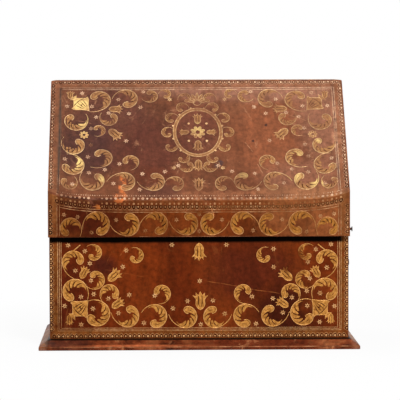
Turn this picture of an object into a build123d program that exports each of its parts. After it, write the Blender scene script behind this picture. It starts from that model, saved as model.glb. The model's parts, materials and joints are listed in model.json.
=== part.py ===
from build123d import *
import math
import os

# Slope-lid stationery box, leather over wooden boards, on a bevelled plinth.
# Millimetres. The origin is at the middle of the underside, the front faces -Y and +Z is up.

# Driving dimensions
case_width = 329.2          # over the side leathers
case_depth = 198.0          # over the front and back leathers
total_height = 295.0
board = 8.0                 # thickness of the case, slope and top boards
leather = 1.2
paper = 0.4                 # lining paper
front_height = 150.0        # top of the front board, hidden behind the lip

plinth_reach = 11.9         # how far the plinth stands out all round
plinth_height = 12.0
plinth_edge = 3.8           # height of its thin outer edge
plinth_rail = 42.0          # width of each moulding
plinth_skin = 0.8           # leather on the plinth
plinth_skin_foot = 0.3      # the plinth's leather stops this far above the table

lid_overhang = 1.0          # past the case on each side
lid_gap = 0.3               # between the closed lid and the case
lip_board = 4.6
lip_bottom = 124.0
lip_clearance = 0.4         # between the lip and the front leather
fold_height = 174.0         # slope to lip fold, at the ends of the lid
slope_run = 113.0           # depth of the slope, front to back
fold_sag = 9.3              # how much lower the fold lies in the middle
fold_sag_reach = 20.0       # distance over which it falls away from each end

rebate = 4.0                # front and back boards let into the side boards
groove = 3.0                # dividers let into the side boards
divider = 5.0
divider_places = {"divider_front": -50.0, "divider_middle": -8.0, "divider_rear": 34.0}
divider_drop = 22.0         # top of a divider below the lid's lining
scoop_width = 130.0
scoop_depth = 13.0
cross_divider = 4.0
cross_divider_height = 90.0
cross_divider_place = 62.0

hinge_place = 100.0         # hinge centres, left and right of the middle
hinge_length = 42.0
knuckles = 3
knuckle_gap = 0.25
knuckle_radius = 2.4
pin_radius = 1.2
pin_clearance = 0.05
pin_stand_off = 3.0         # hinge pin behind the back leather
leaf = 1.4
leaf_width = 11.5           # from the pin's axis
hinge_screw_pitch = 24.0
screw_head_radius = 2.0
screw_head = 0.8
screw_radius = 1.0
case_screw_length = 11.0
lid_screw_length = 6.5

stud_height = 132.0
stud_radius = 1.4
stud_head_radius = 2.6
stud_depth = 11.0
hook_pivot_y = -60.0
hook_pivot_z = 92.0
hook_thickness = 1.2
hook_side_gap = 0.4         # between the hook and the lid's end
hook_width = 3.6
hook_eye_radius = 4.2
hook_claw_radius = 5.2
hook_tail = 8.0
rivet_radius = 1.5
rivet_head_radius = 3.2
rivet_head = 0.8
running_gap = 0.1

# Worked out from the driving dimensions
half_width = case_width / 2
half_depth = case_depth / 2
board_x = half_width - leather
board_y = half_depth - leather
inner_x = board_x - board
inner_y = board_y - board
floor = plinth_height + board
lid_half = half_width + lid_overhang
lip_front = -half_depth - lip_clearance - paper - lip_board - leather
crest_y = lip_front + slope_run
lid_thickness = leather + board + paper
case_top = total_height - lid_thickness - lid_gap
pin_y = half_depth + pin_stand_off
pin_z = case_top + lid_gap / 2


def lines_meet(first, second):
    """Point where two lines cross, each given by two (y, z) points."""
    (y1, z1), (y2, z2) = first
    (y3, z3), (y4, z4) = second
    across = (y1 - y2) * (z3 - z4) - (z1 - z2) * (y3 - y4)
    a = y1 * z2 - z1 * y2
    b = y3 * z4 - z3 * y4
    return ((a * (y3 - y4) - (y1 - y2) * b) / across, (a * (z3 - z4) - (z1 - z2) * b) / across)


def inward(start, end, depth):
    """The line from start to end, moved to its right by depth."""
    length = math.dist(start, end)
    dy = (end[1] - start[1]) / length * depth
    dz = -(end[0] - start[0]) / length * depth
    return ((start[0] + dy, start[1] + dz), (end[0] + dy, end[1] + dz))


def fold_at(x):
    """Height of the slope to lip fold: it sags away from both ends."""
    from_end = max(0.0, lid_half - abs(x))
    return fold_height - fold_sag * (1 - math.exp(-from_end / fold_sag_reach))


def slope_line(x, depth):
    return inward((lip_front, fold_at(x)), (crest_y, total_height), depth)


def lid_line(x, lip_depth, depth, edge=0.0):
    """Foot, fold, crest and rear of the lid's section, at depths below its outer skin."""
    lip_y = lip_front + lip_depth
    lip = ((lip_y, lip_bottom), (lip_y, fold_height))
    top = ((crest_y, total_height - depth), (half_depth, total_height - depth))
    slope = slope_line(x, depth)
    foot = (lip_y, lip_bottom + edge)
    rear = (half_depth - edge, total_height - depth)
    return [foot, lines_meet(lip, slope), lines_meet(slope, top), rear]


def section(x, outline):
    """Flat face across the box at x."""
    return make_face(Polyline(*[(x, y, z) for y, z in outline], close=True))


def loft_across(stations, outline_at):
    return loft([section(x, outline_at(x)) for x in stations], ruled=True)


def lid_stations(ends):
    """Places along the lid where its section is drawn, closer together near the ends."""
    from_end = [*ends, leather + board, 22.0, 40.0, 70.0]
    left = [d - lid_half for d in from_end]
    return left + [-x for x in reversed(left)]


def block(x0, x1, y0, y1, z0, z1):
    return Pos((x0 + x1) / 2, (y0 + y1) / 2, (z0 + z1) / 2) * Box(x1 - x0, y1 - y0, z1 - z0)


def rod(radius, start, end):
    """Round bar along X, Y or Z between two points."""
    axis = Vector(*end) - Vector(*start)
    return extrude(Plane(Vector(*start), z_dir=axis) * Circle(radius), axis.length)


# Plinth: four mitred and bevelled mouldings under one leather

def plinth_form(inset, foot):
    """Solid bevelled plinth, moved in by inset along its faces."""
    width = case_width + 2 * plinth_reach
    depth = case_depth + 2 * plinth_reach
    rise = plinth_height - plinth_edge
    length = math.hypot(rise, plinth_reach)
    edge_top = plinth_edge + inset * rise / plinth_reach - inset * length / plinth_reach
    top_in = inset * length / rise
    base = Plane.XY.offset(foot) * Rectangle(width - 2 * inset, depth - 2 * inset)
    edge = extrude(base, edge_top - foot)
    low = Plane.XY.offset(edge_top) * Rectangle(width - 2 * inset, depth - 2 * inset)
    high = Plane.XY.offset(plinth_height) * Rectangle(case_width - 2 * top_in, case_depth - 2 * top_in)
    return edge + loft([low, high], ruled=True)


def make_plinth():
    core = plinth_form(plinth_skin, 0.0)
    half_x = half_width + plinth_reach
    half_y = half_depth + plinth_reach
    core -= block(plinth_rail - half_x, half_x - plinth_rail, plinth_rail - half_y, half_y - plinth_rail, -1, 20)
    front = Polyline((-half_x, -half_y), (half_x, -half_y), (half_x - half_y, 0), (half_y - half_x, 0), close=True)
    right = Polyline((half_x, -half_y), (half_x, half_y), (half_x - half_y, 0), close=True)
    front_zone = extrude(make_face(front), plinth_height)
    right_zone = extrude(make_face(right), plinth_height)
    return {
        "plinth_front": core & front_zone,
        "plinth_back": core & mirror(front_zone, Plane.XZ),
        "plinth_right": core & right_zone,
        "plinth_left": core & mirror(right_zone, Plane.YZ),
        "plinth_leather": plinth_form(0.0, plinth_skin_foot) - plinth_form(plinth_skin, 0.0),
    }


# Case: boards, dividers, lining and leather

def side_outline(x):
    """Profile of the case's side, parallel to the inside of the closed lid."""
    slope = slope_line(x, lid_thickness + lid_gap)
    front_corner = lines_meet(slope, ((-board_y, 0), (-board_y, 1)))
    crest = lines_meet(slope, ((0, case_top), (1, case_top)))
    return [(-board_y, plinth_height), front_corner, crest, (board_y, case_top), (board_y, plinth_height)]


def side_panel(x0, x1):
    return loft_across([x0, x1], side_outline)


def divider_top(place):
    """Top of a divider: under the slope where it is sagged most, and under the flat top."""
    slope = slope_line(0, lid_thickness)
    front_face = place - divider / 2
    below_slope = lines_meet(slope, ((front_face, 0), (front_face, 1)))[1]
    return min(below_slope, case_top) - divider_drop


def make_divider(place):
    """Long divider with a finger scoop in its top edge."""
    top = divider_top(place)
    end = inner_x + groove
    plank = block(-end, end, place - divider / 2, place + divider / 2, floor + paper, top)
    scoop_radius = (scoop_width ** 2 / 4 + scoop_depth ** 2) / (2 * scoop_depth)
    centre = top - scoop_depth + scoop_radius
    return plank - rod(scoop_radius, (0, place - divider, centre), (0, place + divider, centre))


def make_dividers():
    pieces = {name: make_divider(place) for name, place in divider_places.items()}
    back = divider_places["divider_front"] - divider / 2
    for name, x in [("cross_divider_left", -cross_divider_place), ("cross_divider_right", cross_divider_place)]:
        top = floor + cross_divider_height
        half = cross_divider / 2
        pieces[name] = block(x - half, x + half, -inner_y + paper, back, floor + paper, top)
    return pieces


def make_case_boards():
    front_end = inner_x + rebate
    front = block(-front_end, front_end, -board_y, -inner_y, plinth_height, front_height)
    back = block(-front_end, front_end, inner_y, board_y, plinth_height, case_top)
    right = side_panel(inner_x, board_x) - front - back
    for place in divider_places.values():
        right -= block(0, inner_x + groove, place - divider / 2, place + divider / 2, floor, total_height)
    return {
        "bottom_board": block(-inner_x, inner_x, -inner_y, inner_y, plinth_height, floor),
        "front_board": front,
        "back_board": back,
        "right_side_board": right,
        "left_side_board": mirror(right, Plane.YZ),
    }


def make_lining():
    lining_x = inner_x - paper
    right = side_panel(lining_x, inner_x) & block(0, board_x, -inner_y, inner_y, floor, case_top)
    for place in divider_places.values():
        right -= block(0, inner_x, place - divider / 2, place + divider / 2, floor + paper, total_height)
    right -= block(0, inner_x, -inner_y, inner_y, floor, floor + paper)
    front = block(-lining_x, lining_x, -inner_y, -inner_y + paper, floor + paper, front_height)
    back = block(-lining_x, lining_x, inner_y - paper, inner_y, floor + paper, case_top)
    front_gap = block(-board_x, board_x, -inner_y, -inner_y + paper, front_height, total_height)
    return {
        "floor_lining": block(-inner_x, inner_x, -inner_y, inner_y, floor, floor + paper),
        "front_lining": front,
        "back_lining": back,
        "right_lining": right - front_gap,
        "left_lining": mirror(right - front_gap, Plane.YZ),
    }


def make_case_leather():
    front = block(-half_width, half_width, -half_depth, -board_y, plinth_height, front_height)
    turn_in = block(-inner_x, inner_x, -half_depth, -inner_y, front_height, front_height + leather)
    right = side_panel(board_x, half_width)
    return {
        "front_leather": front + turn_in,
        "back_leather": block(-half_width, half_width, board_y, half_depth, plinth_height, case_top),
        "right_side_leather": right,
        "left_side_leather": mirror(right, Plane.YZ),
    }


# Lid: three boards mitred at the folds, under one leather

def band(x, outer, inner):
    return outer(x) + inner(x)[::-1]


def make_lid():
    stations = lid_stations([0, leather])
    board_stations = lid_stations([leather])

    def skin(x):
        return lid_line(x, 0, 0)

    def board_outside(x):
        return lid_line(x, leather, leather, leather)

    def board_inside(x):
        return lid_line(x, leather + lip_board, leather + board, leather)

    def lining_outside(x):
        return lid_line(x, leather + lip_board, leather + board)

    def lining_inside(x):
        return lid_line(x, leather + lip_board + paper, lid_thickness)

    def one_board(first):
        def outline(x):
            outside = board_outside(x)[first:first + 2]
            return outside + board_inside(x)[first:first + 2][::-1]
        return loft_across(board_stations, outline)

    boards = {name: one_board(n) for n, name in enumerate(["lid_lip_board", "lid_slope_board", "lid_top_board"])}
    lining = loft_across(board_stations, lambda x: band(x, lining_outside, lining_inside))
    cover = loft_across(stations, lambda x: band(x, skin, lining_inside))
    for piece in [*boards.values(), lining]:
        cover -= piece
    return {**boards, "lid_leather": cover, "lid_lining": lining}


# Hinges: interleaved knuckles on a pin, leaves let into the back board and the lid

def knuckle_spans(place):
    """Start and end of each knuckle along X."""
    pitch = hinge_length / knuckles
    start = place - hinge_length / 2
    return [(start + n * pitch + knuckle_gap / 2, start + (n + 1) * pitch - knuckle_gap / 2) for n in range(knuckles)]


def leaf_block(place, z0, z1):
    """Room that one leaf takes in the edge that carries it."""
    x0 = place - hinge_length / 2
    return block(x0, x0 + hinge_length, pin_y - leaf_width, half_depth, z0, z1)


def hinge_leaf(place, z0, z1, own_first):
    """Leaf with every second knuckle, starting with the first or the second."""
    plate_end = pin_y - knuckle_radius - 0.4
    x0 = place - hinge_length / 2
    piece = block(x0, x0 + hinge_length, pin_y - leaf_width, plate_end, z0, z1)
    for start, end in knuckle_spans(place)[own_first::2]:
        piece += block(start, end, plate_end, pin_y, z0, z1)
        piece += rod(knuckle_radius, (start, pin_y, pin_z), (end, pin_y, pin_z))
    return piece - rod(pin_radius + pin_clearance, (x0 - 1, pin_y, pin_z), (x0 + hinge_length + 1, pin_y, pin_z))


def hinge_pin(place):
    """Pin with a small head at each end."""
    spans = knuckle_spans(place)
    start = spans[0][0]
    end = spans[-1][1]
    piece = rod(pin_radius, (start, pin_y, pin_z), (end, pin_y, pin_z))
    for near, far in [(start - 0.7, start), (end, end + 0.7)]:
        piece += rod(knuckle_radius - 0.4, (near, pin_y, pin_z), (far, pin_y, pin_z))
    return piece


def hinge_screw(x, z_face, way, length, clearance=0.0):
    """Screw with a flat head sunk into the leaf, pointing up or down."""
    y = pin_y - leaf_width / 2 - 1.6
    head = rod(screw_head_radius + clearance, (x, y, z_face), (x, y, z_face + way * screw_head))
    shank = rod(screw_radius + clearance, (x, y, z_face), (x, y, z_face + way * (length + clearance)))
    return head + shank


def screw_places(place):
    return [place - hinge_screw_pitch / 2, place + hinge_screw_pitch / 2]


def make_hinges(pieces):
    leaf_low = case_top - leaf
    lid_face = case_top + lid_gap
    case_screws = []
    lid_screws = []
    for side, place in [("left", -hinge_place), ("right", hinge_place)]:
        case_leaf = hinge_leaf(place, leaf_low, case_top, 0)
        lid_leaf = hinge_leaf(place, lid_face, lid_face + leaf, 1)
        for name in ["back_board", "back_leather", "back_lining"]:
            pieces[name] -= leaf_block(place, leaf_low, case_top)
        for name in ["lid_top_board", "lid_leather", "lid_lining"]:
            pieces[name] -= leaf_block(place, lid_face, lid_face + leaf)
        for x in screw_places(place):
            hole = hinge_screw(x, case_top, -1, case_screw_length, pin_clearance)
            case_leaf -= hole
            pieces["back_board"] -= hole
            case_screws.append(hinge_screw(x, case_top, -1, case_screw_length))
            hole = hinge_screw(x, lid_face, 1, lid_screw_length, pin_clearance)
            lid_leaf -= hole
            pieces["lid_top_board"] -= hole
            lid_screws.append(hinge_screw(x, lid_face, 1, lid_screw_length))
        pieces[f"hinge_{side}_case_leaf"] = case_leaf
        pieces[f"hinge_{side}_lid_leaf"] = lid_leaf
        pieces[f"hinge_{side}_pin"] = hinge_pin(place)
    pieces["case_hinge_screws"] = Compound(children=case_screws)
    pieces["lid_hinge_screws"] = Compound(children=lid_screws)


# Catch: a stud on the lip's right end and a hook that swings up over it

def make_catch(pieces):
    stud_y = lip_front + leather + lip_board / 2
    hook_x = lid_half + hook_side_gap
    hook_out = hook_x + hook_thickness
    head_x = hook_out + 3 * running_gap
    stud_in = lid_half - stud_depth
    stud = rod(stud_radius, (stud_in, stud_y, stud_height), (head_x, stud_y, stud_height))
    stud += rod(stud_head_radius, (head_x, stud_y, stud_height), (head_x + rivet_head, stud_y, stud_height))
    hole = rod(stud_radius + pin_clearance, (stud_in, stud_y, stud_height), (head_x, stud_y, stud_height))
    for name in ["lid_lip_board", "lid_leather"]:
        pieces[name] -= hole
    pieces["catch_stud"] = stud

    reach = math.dist((stud_y, stud_height), (hook_pivot_y, hook_pivot_z))
    face = Plane((hook_x, hook_pivot_y, hook_pivot_z), x_dir=(0, 0, -1), z_dir=(1, 0, 0))
    bay = stud_radius + 0.35
    outline = Circle(hook_eye_radius) + Pos(reach / 2, 0) * Rectangle(reach, hook_width)
    outline += Pos(reach, 0) * Circle(hook_claw_radius)
    tail_y = hook_claw_radius - hook_width / 2
    outline += Pos(reach + hook_tail / 2, tail_y) * SlotOverall(hook_tail + hook_width, hook_width - 1)
    outline -= Circle(rivet_radius + pin_clearance)
    outline -= Pos(reach, 0) * Circle(bay)
    outline -= Pos(reach, -hook_claw_radius) * Rectangle(2 * bay, 2 * hook_claw_radius)
    pieces["side_hook"] = extrude(face * outline, hook_thickness)

    pivot = (hook_pivot_y, hook_pivot_z)
    rivet_in = inner_x + 1.5
    washer = rod(hook_eye_radius, (half_width, *pivot), (hook_x - running_gap, *pivot))
    bore = rod(rivet_radius + pin_clearance, (rivet_in, *pivot), (hook_x, *pivot))
    rivet = rod(rivet_radius, (rivet_in, *pivot), (hook_out + running_gap, *pivot))
    rivet += rod(rivet_head_radius, (hook_out + running_gap, *pivot), (hook_out + running_gap + rivet_head, *pivot))
    for name in ["right_side_board", "right_side_leather"]:
        pieces[name] -= bore
    pieces["hook_washer"] = washer - bore
    pieces["hook_rivet"] = rivet


def make_box():
    pieces = {**make_plinth(), **make_case_boards(), **make_dividers(), **make_lining()}
    pieces.update(make_case_leather())
    pieces.update(make_lid())
    make_hinges(pieces)
    make_catch(pieces)
    return pieces


os.makedirs("parts", exist_ok=True)
for node, shape in make_box().items():
    export_step(shape, f"parts/{node}.step")
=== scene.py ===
import json
import math
import bpy
from mathutils import Matrix, Vector

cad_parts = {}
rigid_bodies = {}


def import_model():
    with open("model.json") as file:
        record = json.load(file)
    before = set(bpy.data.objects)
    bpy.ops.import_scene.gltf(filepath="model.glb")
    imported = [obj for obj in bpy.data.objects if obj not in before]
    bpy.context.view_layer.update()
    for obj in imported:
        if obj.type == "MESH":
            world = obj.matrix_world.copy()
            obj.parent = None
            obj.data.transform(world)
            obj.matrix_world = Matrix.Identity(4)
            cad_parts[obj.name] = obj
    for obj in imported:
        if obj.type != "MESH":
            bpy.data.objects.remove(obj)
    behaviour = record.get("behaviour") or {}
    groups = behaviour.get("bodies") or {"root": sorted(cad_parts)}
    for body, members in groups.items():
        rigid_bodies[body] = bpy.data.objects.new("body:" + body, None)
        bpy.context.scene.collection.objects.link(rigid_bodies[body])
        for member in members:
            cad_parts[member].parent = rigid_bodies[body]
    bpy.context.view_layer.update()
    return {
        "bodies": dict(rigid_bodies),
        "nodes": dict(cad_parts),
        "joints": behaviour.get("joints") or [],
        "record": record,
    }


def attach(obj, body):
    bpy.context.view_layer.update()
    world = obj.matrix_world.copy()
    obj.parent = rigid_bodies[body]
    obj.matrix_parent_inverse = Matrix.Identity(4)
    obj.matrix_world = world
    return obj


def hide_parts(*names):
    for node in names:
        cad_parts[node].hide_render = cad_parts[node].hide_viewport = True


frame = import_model()
nodes = frame["nodes"]
mm = 0.001


# Materials are built from these few steps; a socket knows the tree that it belongs to

def isSocket(value):
    return isinstance(value, bpy.types.NodeSocket)


def shade(colour):                   # (r, g, b) as a screen shows it, 0 to 255; a socket stays as it is
    if isSocket(colour):
        return colour
    return tuple(v / 3294.6 if v <= 10 else ((v / 255 + 0.055) / 1.055) ** 2.4 for v in colour) + (1.0,)


def plug(node, inputs):              # sockets are linked, plain values are set
    for key, value in inputs.items():
        if isSocket(value):
            node.id_data.links.new(value, node.inputs[key])
        else:
            node.inputs[key].default_value = value


def addNode(kind, inputs, tree=None, **settings):
    tree = tree or next(value.id_data for value in inputs.values() if isSocket(value))
    made = tree.nodes.new("ShaderNode" + kind)
    for key, value in settings.items():
        setattr(made, key, value)
    plug(made, inputs)
    return made


def startMaterial(name):
    material = bpy.data.materials.new(name)
    material.use_nodes = True
    place = addNode("TexCoord", {}, material.node_tree).outputs["Object"]
    return material, material.node_tree.nodes["Principled BSDF"], place


def maths(kind, first, second=0.0):
    return addNode("Math", {0: first, 1: second}, operation=kind).outputs[0]


def times(first, second):
    return maths("MULTIPLY", first, second)


def plus(first, second):
    return maths("ADD", first, second)


def minus(first, second):
    return maths("SUBTRACT", first, second)


def larger(first, second):
    return maths("MAXIMUM", first, second)


def unsigned(value):
    return maths("ABSOLUTE", value)


def spread(value, low, high, toLow=0.0, toHigh=1.0):
    ends = {"From Min": low, "From Max": high, "To Min": toLow, "To Max": toHigh}
    return addNode("MapRange", {"Value": value, **ends}).outputs[0]


def blend(amount, first, second, kind="MIX"):
    inputs = {"Factor": amount, 6: shade(first), 7: shade(second)}
    return addNode("Mix", inputs, data_type="RGBA", blend_type=kind).outputs[2]


def ramp(value, *stops):             # colours along a value
    made = addNode("ValToRGB", {"Fac": value})
    marks = made.color_ramp.elements
    for number, (at, colour) in enumerate(stops):
        mark = marks[number] if number < 2 else marks.new(at)
        mark.position = at
        mark.color = shade(colour)
    return made.outputs["Color"]


def cloud(place, scale, detail=4.0, rough=0.55, stretch=None, warp=0.0):
    if stretch:
        place = addNode("Mapping", {"Vector": place, "Scale": stretch}).outputs[0]
    inputs = {"Vector": place, "Scale": scale, "Detail": detail, "Roughness": rough, "Distortion": warp}
    return addNode("TexNoise", inputs).outputs["Fac"]


grain = {   # a cloud's scale, detail, roughness, stretch and warp; then how it is spread: from, to, low, high
    "speckle": ((210.0, 3.0, 0.7), (0.3, 0.72, 0.66, 1.28)),
    "scuffs": ((60.0, 5.0, 0.75, (1, 1, 0.25), 0.8), (0.60, 0.74)),
    "borderWear": ((90.0, 5.0, 0.75), (0.36, 0.62, 0.2, 0.95)),
    "brokenScore": ((120.0, 3.0, 0.6), (0.36, 0.56)),
    "goldTone": ((300.0, 3.0, 0.7), (0.35, 0.7)),
    "woodAge": ((11.0, 4.0, 0.6), (0.35, 0.7)),
    "foxing": ((14.0, 5.0, 0.65), (0.52, 0.72)),
    "rust": ((60.0, 6.0, 0.72, None, 0.6), (0.55, 0.66)),
}


def grained(place, kind):            # an uneven value, as the table says
    shape, reach = grain[kind]
    return spread(cloud(place, *shape), *reach)


def cells(place, scale, **settings):
    return addNode("TexVoronoi", {"Vector": place, "Scale": scale}, **settings).outputs["Distance"]


def bump(height, strength, distance):
    return addNode("Bump", {"Height": height, "Strength": strength, "Distance": distance}).outputs[0]


def axes(place):
    return addNode("SeparateXYZ", {0: place}).outputs


spot = {"ragged": 0.5, "detail": 26.0, "edge": (0.12, 0.62)}
chip = {"ragged": 1.7, "detail": 150.0}          # a spot where the skin has come off
gleam = {"ragged": 0.9, "detail": 60.0}          # a painted highlight: a spot where the gold looks to catch the light


def stain(place, centre, radii, ragged=spot["ragged"], detail=spot["detail"]):    # 1 in its middle
    moved = addNode("Mapping", {"Vector": place, "Location": tuple(-c / r for c, r in zip(centre, radii)),
                                "Scale": tuple(1 / r for r in radii)}).outputs[0]
    ball = addNode("TexGradient", {"Vector": moved}, gradient_type="SPHERICAL").outputs["Fac"]
    uneven = spread(cloud(place, detail, 5.0, 0.65), 0.3, 0.7, 1 - ragged, 1 + ragged)
    return spread(times(ball, uneven), *spot["edge"])


score = {"wander": 0.004, "wanderScale": 35.0, "core": 0.3, "fullHalf": 0.42}


def scratch(place, start, end, width):           # a thin scored line, 1 along it, seen from the front
    slope = math.atan2(end[1] - start[1], end[0] - start[0])
    moved = addNode("VectorMath", {0: place, 1: (start[0], 0, start[1])}, operation="SUBTRACT").outputs[0]
    turned = addNode("VectorRotate", {"Vector": moved, "Angle": slope}, rotation_type="Y_AXIS").outputs[0]
    turned = axes(turned)
    wander = times(minus(cloud(place, score["wanderScale"], 2.0, 0.5), 0.5), score["wander"])
    across = spread(unsigned(plus(turned[2], wander)), width, width * score["core"])
    length = math.dist(start, end)
    along = spread(unsigned(minus(turned[0], length / 2)), length / 2, length * score["fullHalf"])
    return times(times(across, along), grained(place, "brokenScore"))


def seenRays(tree):                  # 1 for what is looked at, straight or by way of gloss or glass
    rays = addNode("LightPath", {}, tree).outputs
    return larger(rays["Is Camera Ray"], larger(rays["Is Glossy Ray"], rays["Is Transmission Ray"]))


# Room, camera, light and floor

room = {
    "cameraAt": (-0.0559, -2.7, 0.3141),
    "turnRight": 1.255, "tiltDown": 3.298, "lean": 0.153,        # degrees
    "lens": 213.7, "sensor": 36, "farthest": 50,
    "fill": 0.33,                    # light from all round
    "lampsAimAt": (0, 0, 0.14),
    "floorSize": 60, "floorTone": (0.84, 0.84, 0.84, 1),
    "duller": ((0.1, 0, 0), (0.8, 0.6, 1), 0.93),                # where the floor shows a little less white
}

lamps = [   # name, place, size, watts
    ("keyLamp", (0.30, -1.55, 1.55), 0.36, 31.0),
    ("topLamp", (-0.5, 0.5, 2.1), 1.2, 14.0),
]


def makeRoom():
    camera = bpy.data.objects.new("camera", bpy.data.cameras.new("camera"))
    bpy.context.scene.collection.objects.link(camera)
    camera.data.sensor_width = room["sensor"]
    camera.data.lens = room["lens"]
    camera.data.clip_end = room["farthest"]
    turn = Matrix.Rotation(-math.radians(room["turnRight"]), 4, "Z")
    tilt = Matrix.Rotation(math.radians(90 - room["tiltDown"]), 4, "X")
    lean = Matrix.Rotation(-math.radians(room["lean"]), 4, "Z")
    camera.matrix_world = Matrix.Translation(room["cameraAt"]) @ turn @ tilt @ lean
    bpy.context.scene.camera = camera

    for name, place, size, watts in lamps:
        lamp = bpy.data.lights.new(name, "AREA")
        lamp.shape = "DISK"
        lamp.size = size
        lamp.energy = watts
        holder = bpy.data.objects.new(name, lamp)
        bpy.context.scene.collection.objects.link(holder)
        holder.location = place
        aim = Vector(room["lampsAimAt"]) - Vector(place)
        holder.rotation_euler = aim.to_track_quat("-Z", "Y").to_euler()

    world = bpy.data.worlds.new("room")
    bpy.context.scene.world = world
    world.use_nodes = True
    world.node_tree.nodes.clear()
    strength = spread(seenRays(world.node_tree), 0, 1, room["fill"], 1.0)      # white where it is seen
    back = addNode("Background", {"Color": (1, 1, 1, 1), "Strength": strength})
    addNode("OutputWorld", {"Surface": back.outputs[0]})

    bpy.context.scene.view_settings.view_transform = "Standard"


def makeFloor():
    clearSelection()
    bpy.ops.mesh.primitive_plane_add(size=room["floorSize"])
    floor = settle(named("floor"))
    material, shader, place = startMaterial("paleFloor")
    plug(shader, {"Base Color": room["floorTone"], "Roughness": 0.9, "Specular IOR Level": 0.1})
    glow = addNode("Emission", {"Color": (1, 1, 1, 1), "Strength": 1.0}, material.node_tree)
    centre, radii, least = room["duller"]
    shown = times(seenRays(material.node_tree), spread(stain(place, centre, radii, 0.0), 0, 1, 1.0, least))
    mixed = addNode("MixShader", {0: shown, 1: shader.outputs[0], 2: glow.outputs[0]})
    plug(material.node_tree.nodes["Material Output"], {"Surface": mixed.outputs[0]})
    dress(floor, material)


# Leather, gilding, wood, paper and iron

def outsideBox(place, halfX, halfY):             # how far outside the case's walls, in metres
    parts = axes(place)
    return larger(minus(unsigned(parts[0]), halfX), minus(unsigned(parts[1]), halfY))


# the painted shadow under the lip: its unevenness and upward fade in metres, faintest share, right end and
# colour
lipShadow = {"uneven": 0.0026, "fade": 0.022, "faintest": 0.25, "rightEnd": (0.1615, 0.1560), "tone": (6, 3, 2)}


def paintedLipShadow(place, look):                    # 1 where a shadow is painted on the front under the lip: black, fading upwards and at the right end
    low, high = look["black"]
    parts = axes(place)
    up = plus(parts[2], times(cloud(place, 30.0, 3.0, 0.6), lipShadow["uneven"]))
    foot = spread(up, low, low + lipShadow["uneven"])
    top = spread(up, high + lipShadow["fade"], high, lipShadow["faintest"])
    return times(times(foot, top), spread(parts[0], *lipShadow["rightEnd"]))


band = {"soft": 0.0005, "fade": 0.0006, "fainter": 0.6}


def borderBand(place, look):                     # 1 on the rolled border round a panel
    low, high, half = look["border"]
    wide = look["borderWidth"]
    parts = axes(place)
    edge = larger(minus(unsigned(parts[0]), half), larger(minus(low, parts[2]), minus(parts[2], high)))
    outer = spread(edge, -band["soft"], band["soft"])
    inner = spread(edge, wide + band["fade"], wide - band["fade"], band["fainter"], 1)
    return times(times(outer, inner), grained(place, "borderWear"))


leather = {
    "stops": (0.36, 0.66, 0.5), "streaks": (90.0, 4.0, 0.65), "streakStretch": (1, 0.22, 0.22),
    "streakWarp": 0.5, "streakReach": (0.32, 0.7, 0.76, 1.2),
    # joint: painted shade where the case stands on the plinth, its softness, strength and colour
    "jointSoft": 0.0012, "jointShade": 0.98, "dirt": (14, 5, 2),
    "polish": (30.0, 5.0, 0.6), "glossier": 0.09, "duller": 0.12,
    "poreScale": 850.0, "pores": 0.25, "creases": 0.45, "swell": 1.6, "reliefDepth": 0.0006,
}


def leatherTone(place, look):
    clouds = cloud(place, look["cloudScale"], 6.0, 0.62, warp=0.3)
    tone = ramp(clouds, *zip(leather["stops"], (look["dark"], look["light"], look["middle"])))
    for centre, radii, colour, amount in look["stains"]:
        tone = blend(times(stain(place, centre, radii), amount), tone, colour)
    for centre, radii, colour, amount in look.get("chips", []):
        tone = blend(times(stain(place, centre, radii, **chip), amount), tone, colour)
    if "border" in look:
        tone = blend(borderBand(place, look), tone, look["borderTone"])
    tone = blend(1.0, tone, grained(place, "speckle"), "MULTIPLY")
    stretch = look.get("streaks", leather["streakStretch"])
    streaks = cloud(place, *leather["streaks"], stretch, leather["streakWarp"])
    tone = blend(1.0, tone, spread(streaks, *leather["streakReach"]), "MULTIPLY")
    tone = blend(times(grained(place, "scuffs"), look["scuffs"]), tone, look["scuffTone"])
    for start, end, width, amount in look.get("scratches", []):
        tone = blend(times(scratch(place, start, end, width), amount), tone, look["scuffTone"])
    # painted shadow, in black, on the front just under the lip's edge
    if "black" in look:
        tone = blend(paintedLipShadow(place, look), tone, lipShadow["tone"])
    if "joint" in look:              # painted shade in the joint between the case and its plinth
        away = outsideBox(place, case["halfWidth"], case["halfDepth"])
        dirty = spread(away, look["joint"] + leather["jointSoft"], look["joint"], 0.0, leather["jointShade"])
        tone = blend(dirty, tone, leather["dirt"])
    return tone


def leatherRelief(place, look):
    pores = times(cells(place, leather["poreScale"], feature="SMOOTH_F1"), leather["pores"])
    creases = times(cloud(place, 140.0, 5.0, 0.7, warp=1.2), leather["creases"])
    swell = times(cloud(place, 18.0, 2.0, 0.5), leather["swell"])
    return bump(plus(plus(pores, creases), swell), look["relief"], leather["reliefDepth"])


def makeLeather(name, look):
    material, shader, place = startMaterial(name)
    least, most = look["roughness"] - leather["glossier"], look["roughness"] + leather["duller"]
    rough = spread(cloud(place, *leather["polish"]), 0.35, 0.65, least, most)
    if "black" in look:              # the painted shadow under the lip is dull
        rough = larger(rough, paintedLipShadow(place, look))
    plug(shader, {"Base Color": leatherTone(place, look), "Normal": leatherRelief(place, look),
                  "Roughness": rough, "Specular IOR Level": look["sheen"], "Specular Tint": look["varnish"]})
    return material


gilding = {
    "stained": 0.55, "patches": 0.62, "broad": 0.38, "roughness": (0.58, 0.36),      # from bare to whole
    "gleaming": 0.8, "gleamTone": (252, 214, 134),
}


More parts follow.
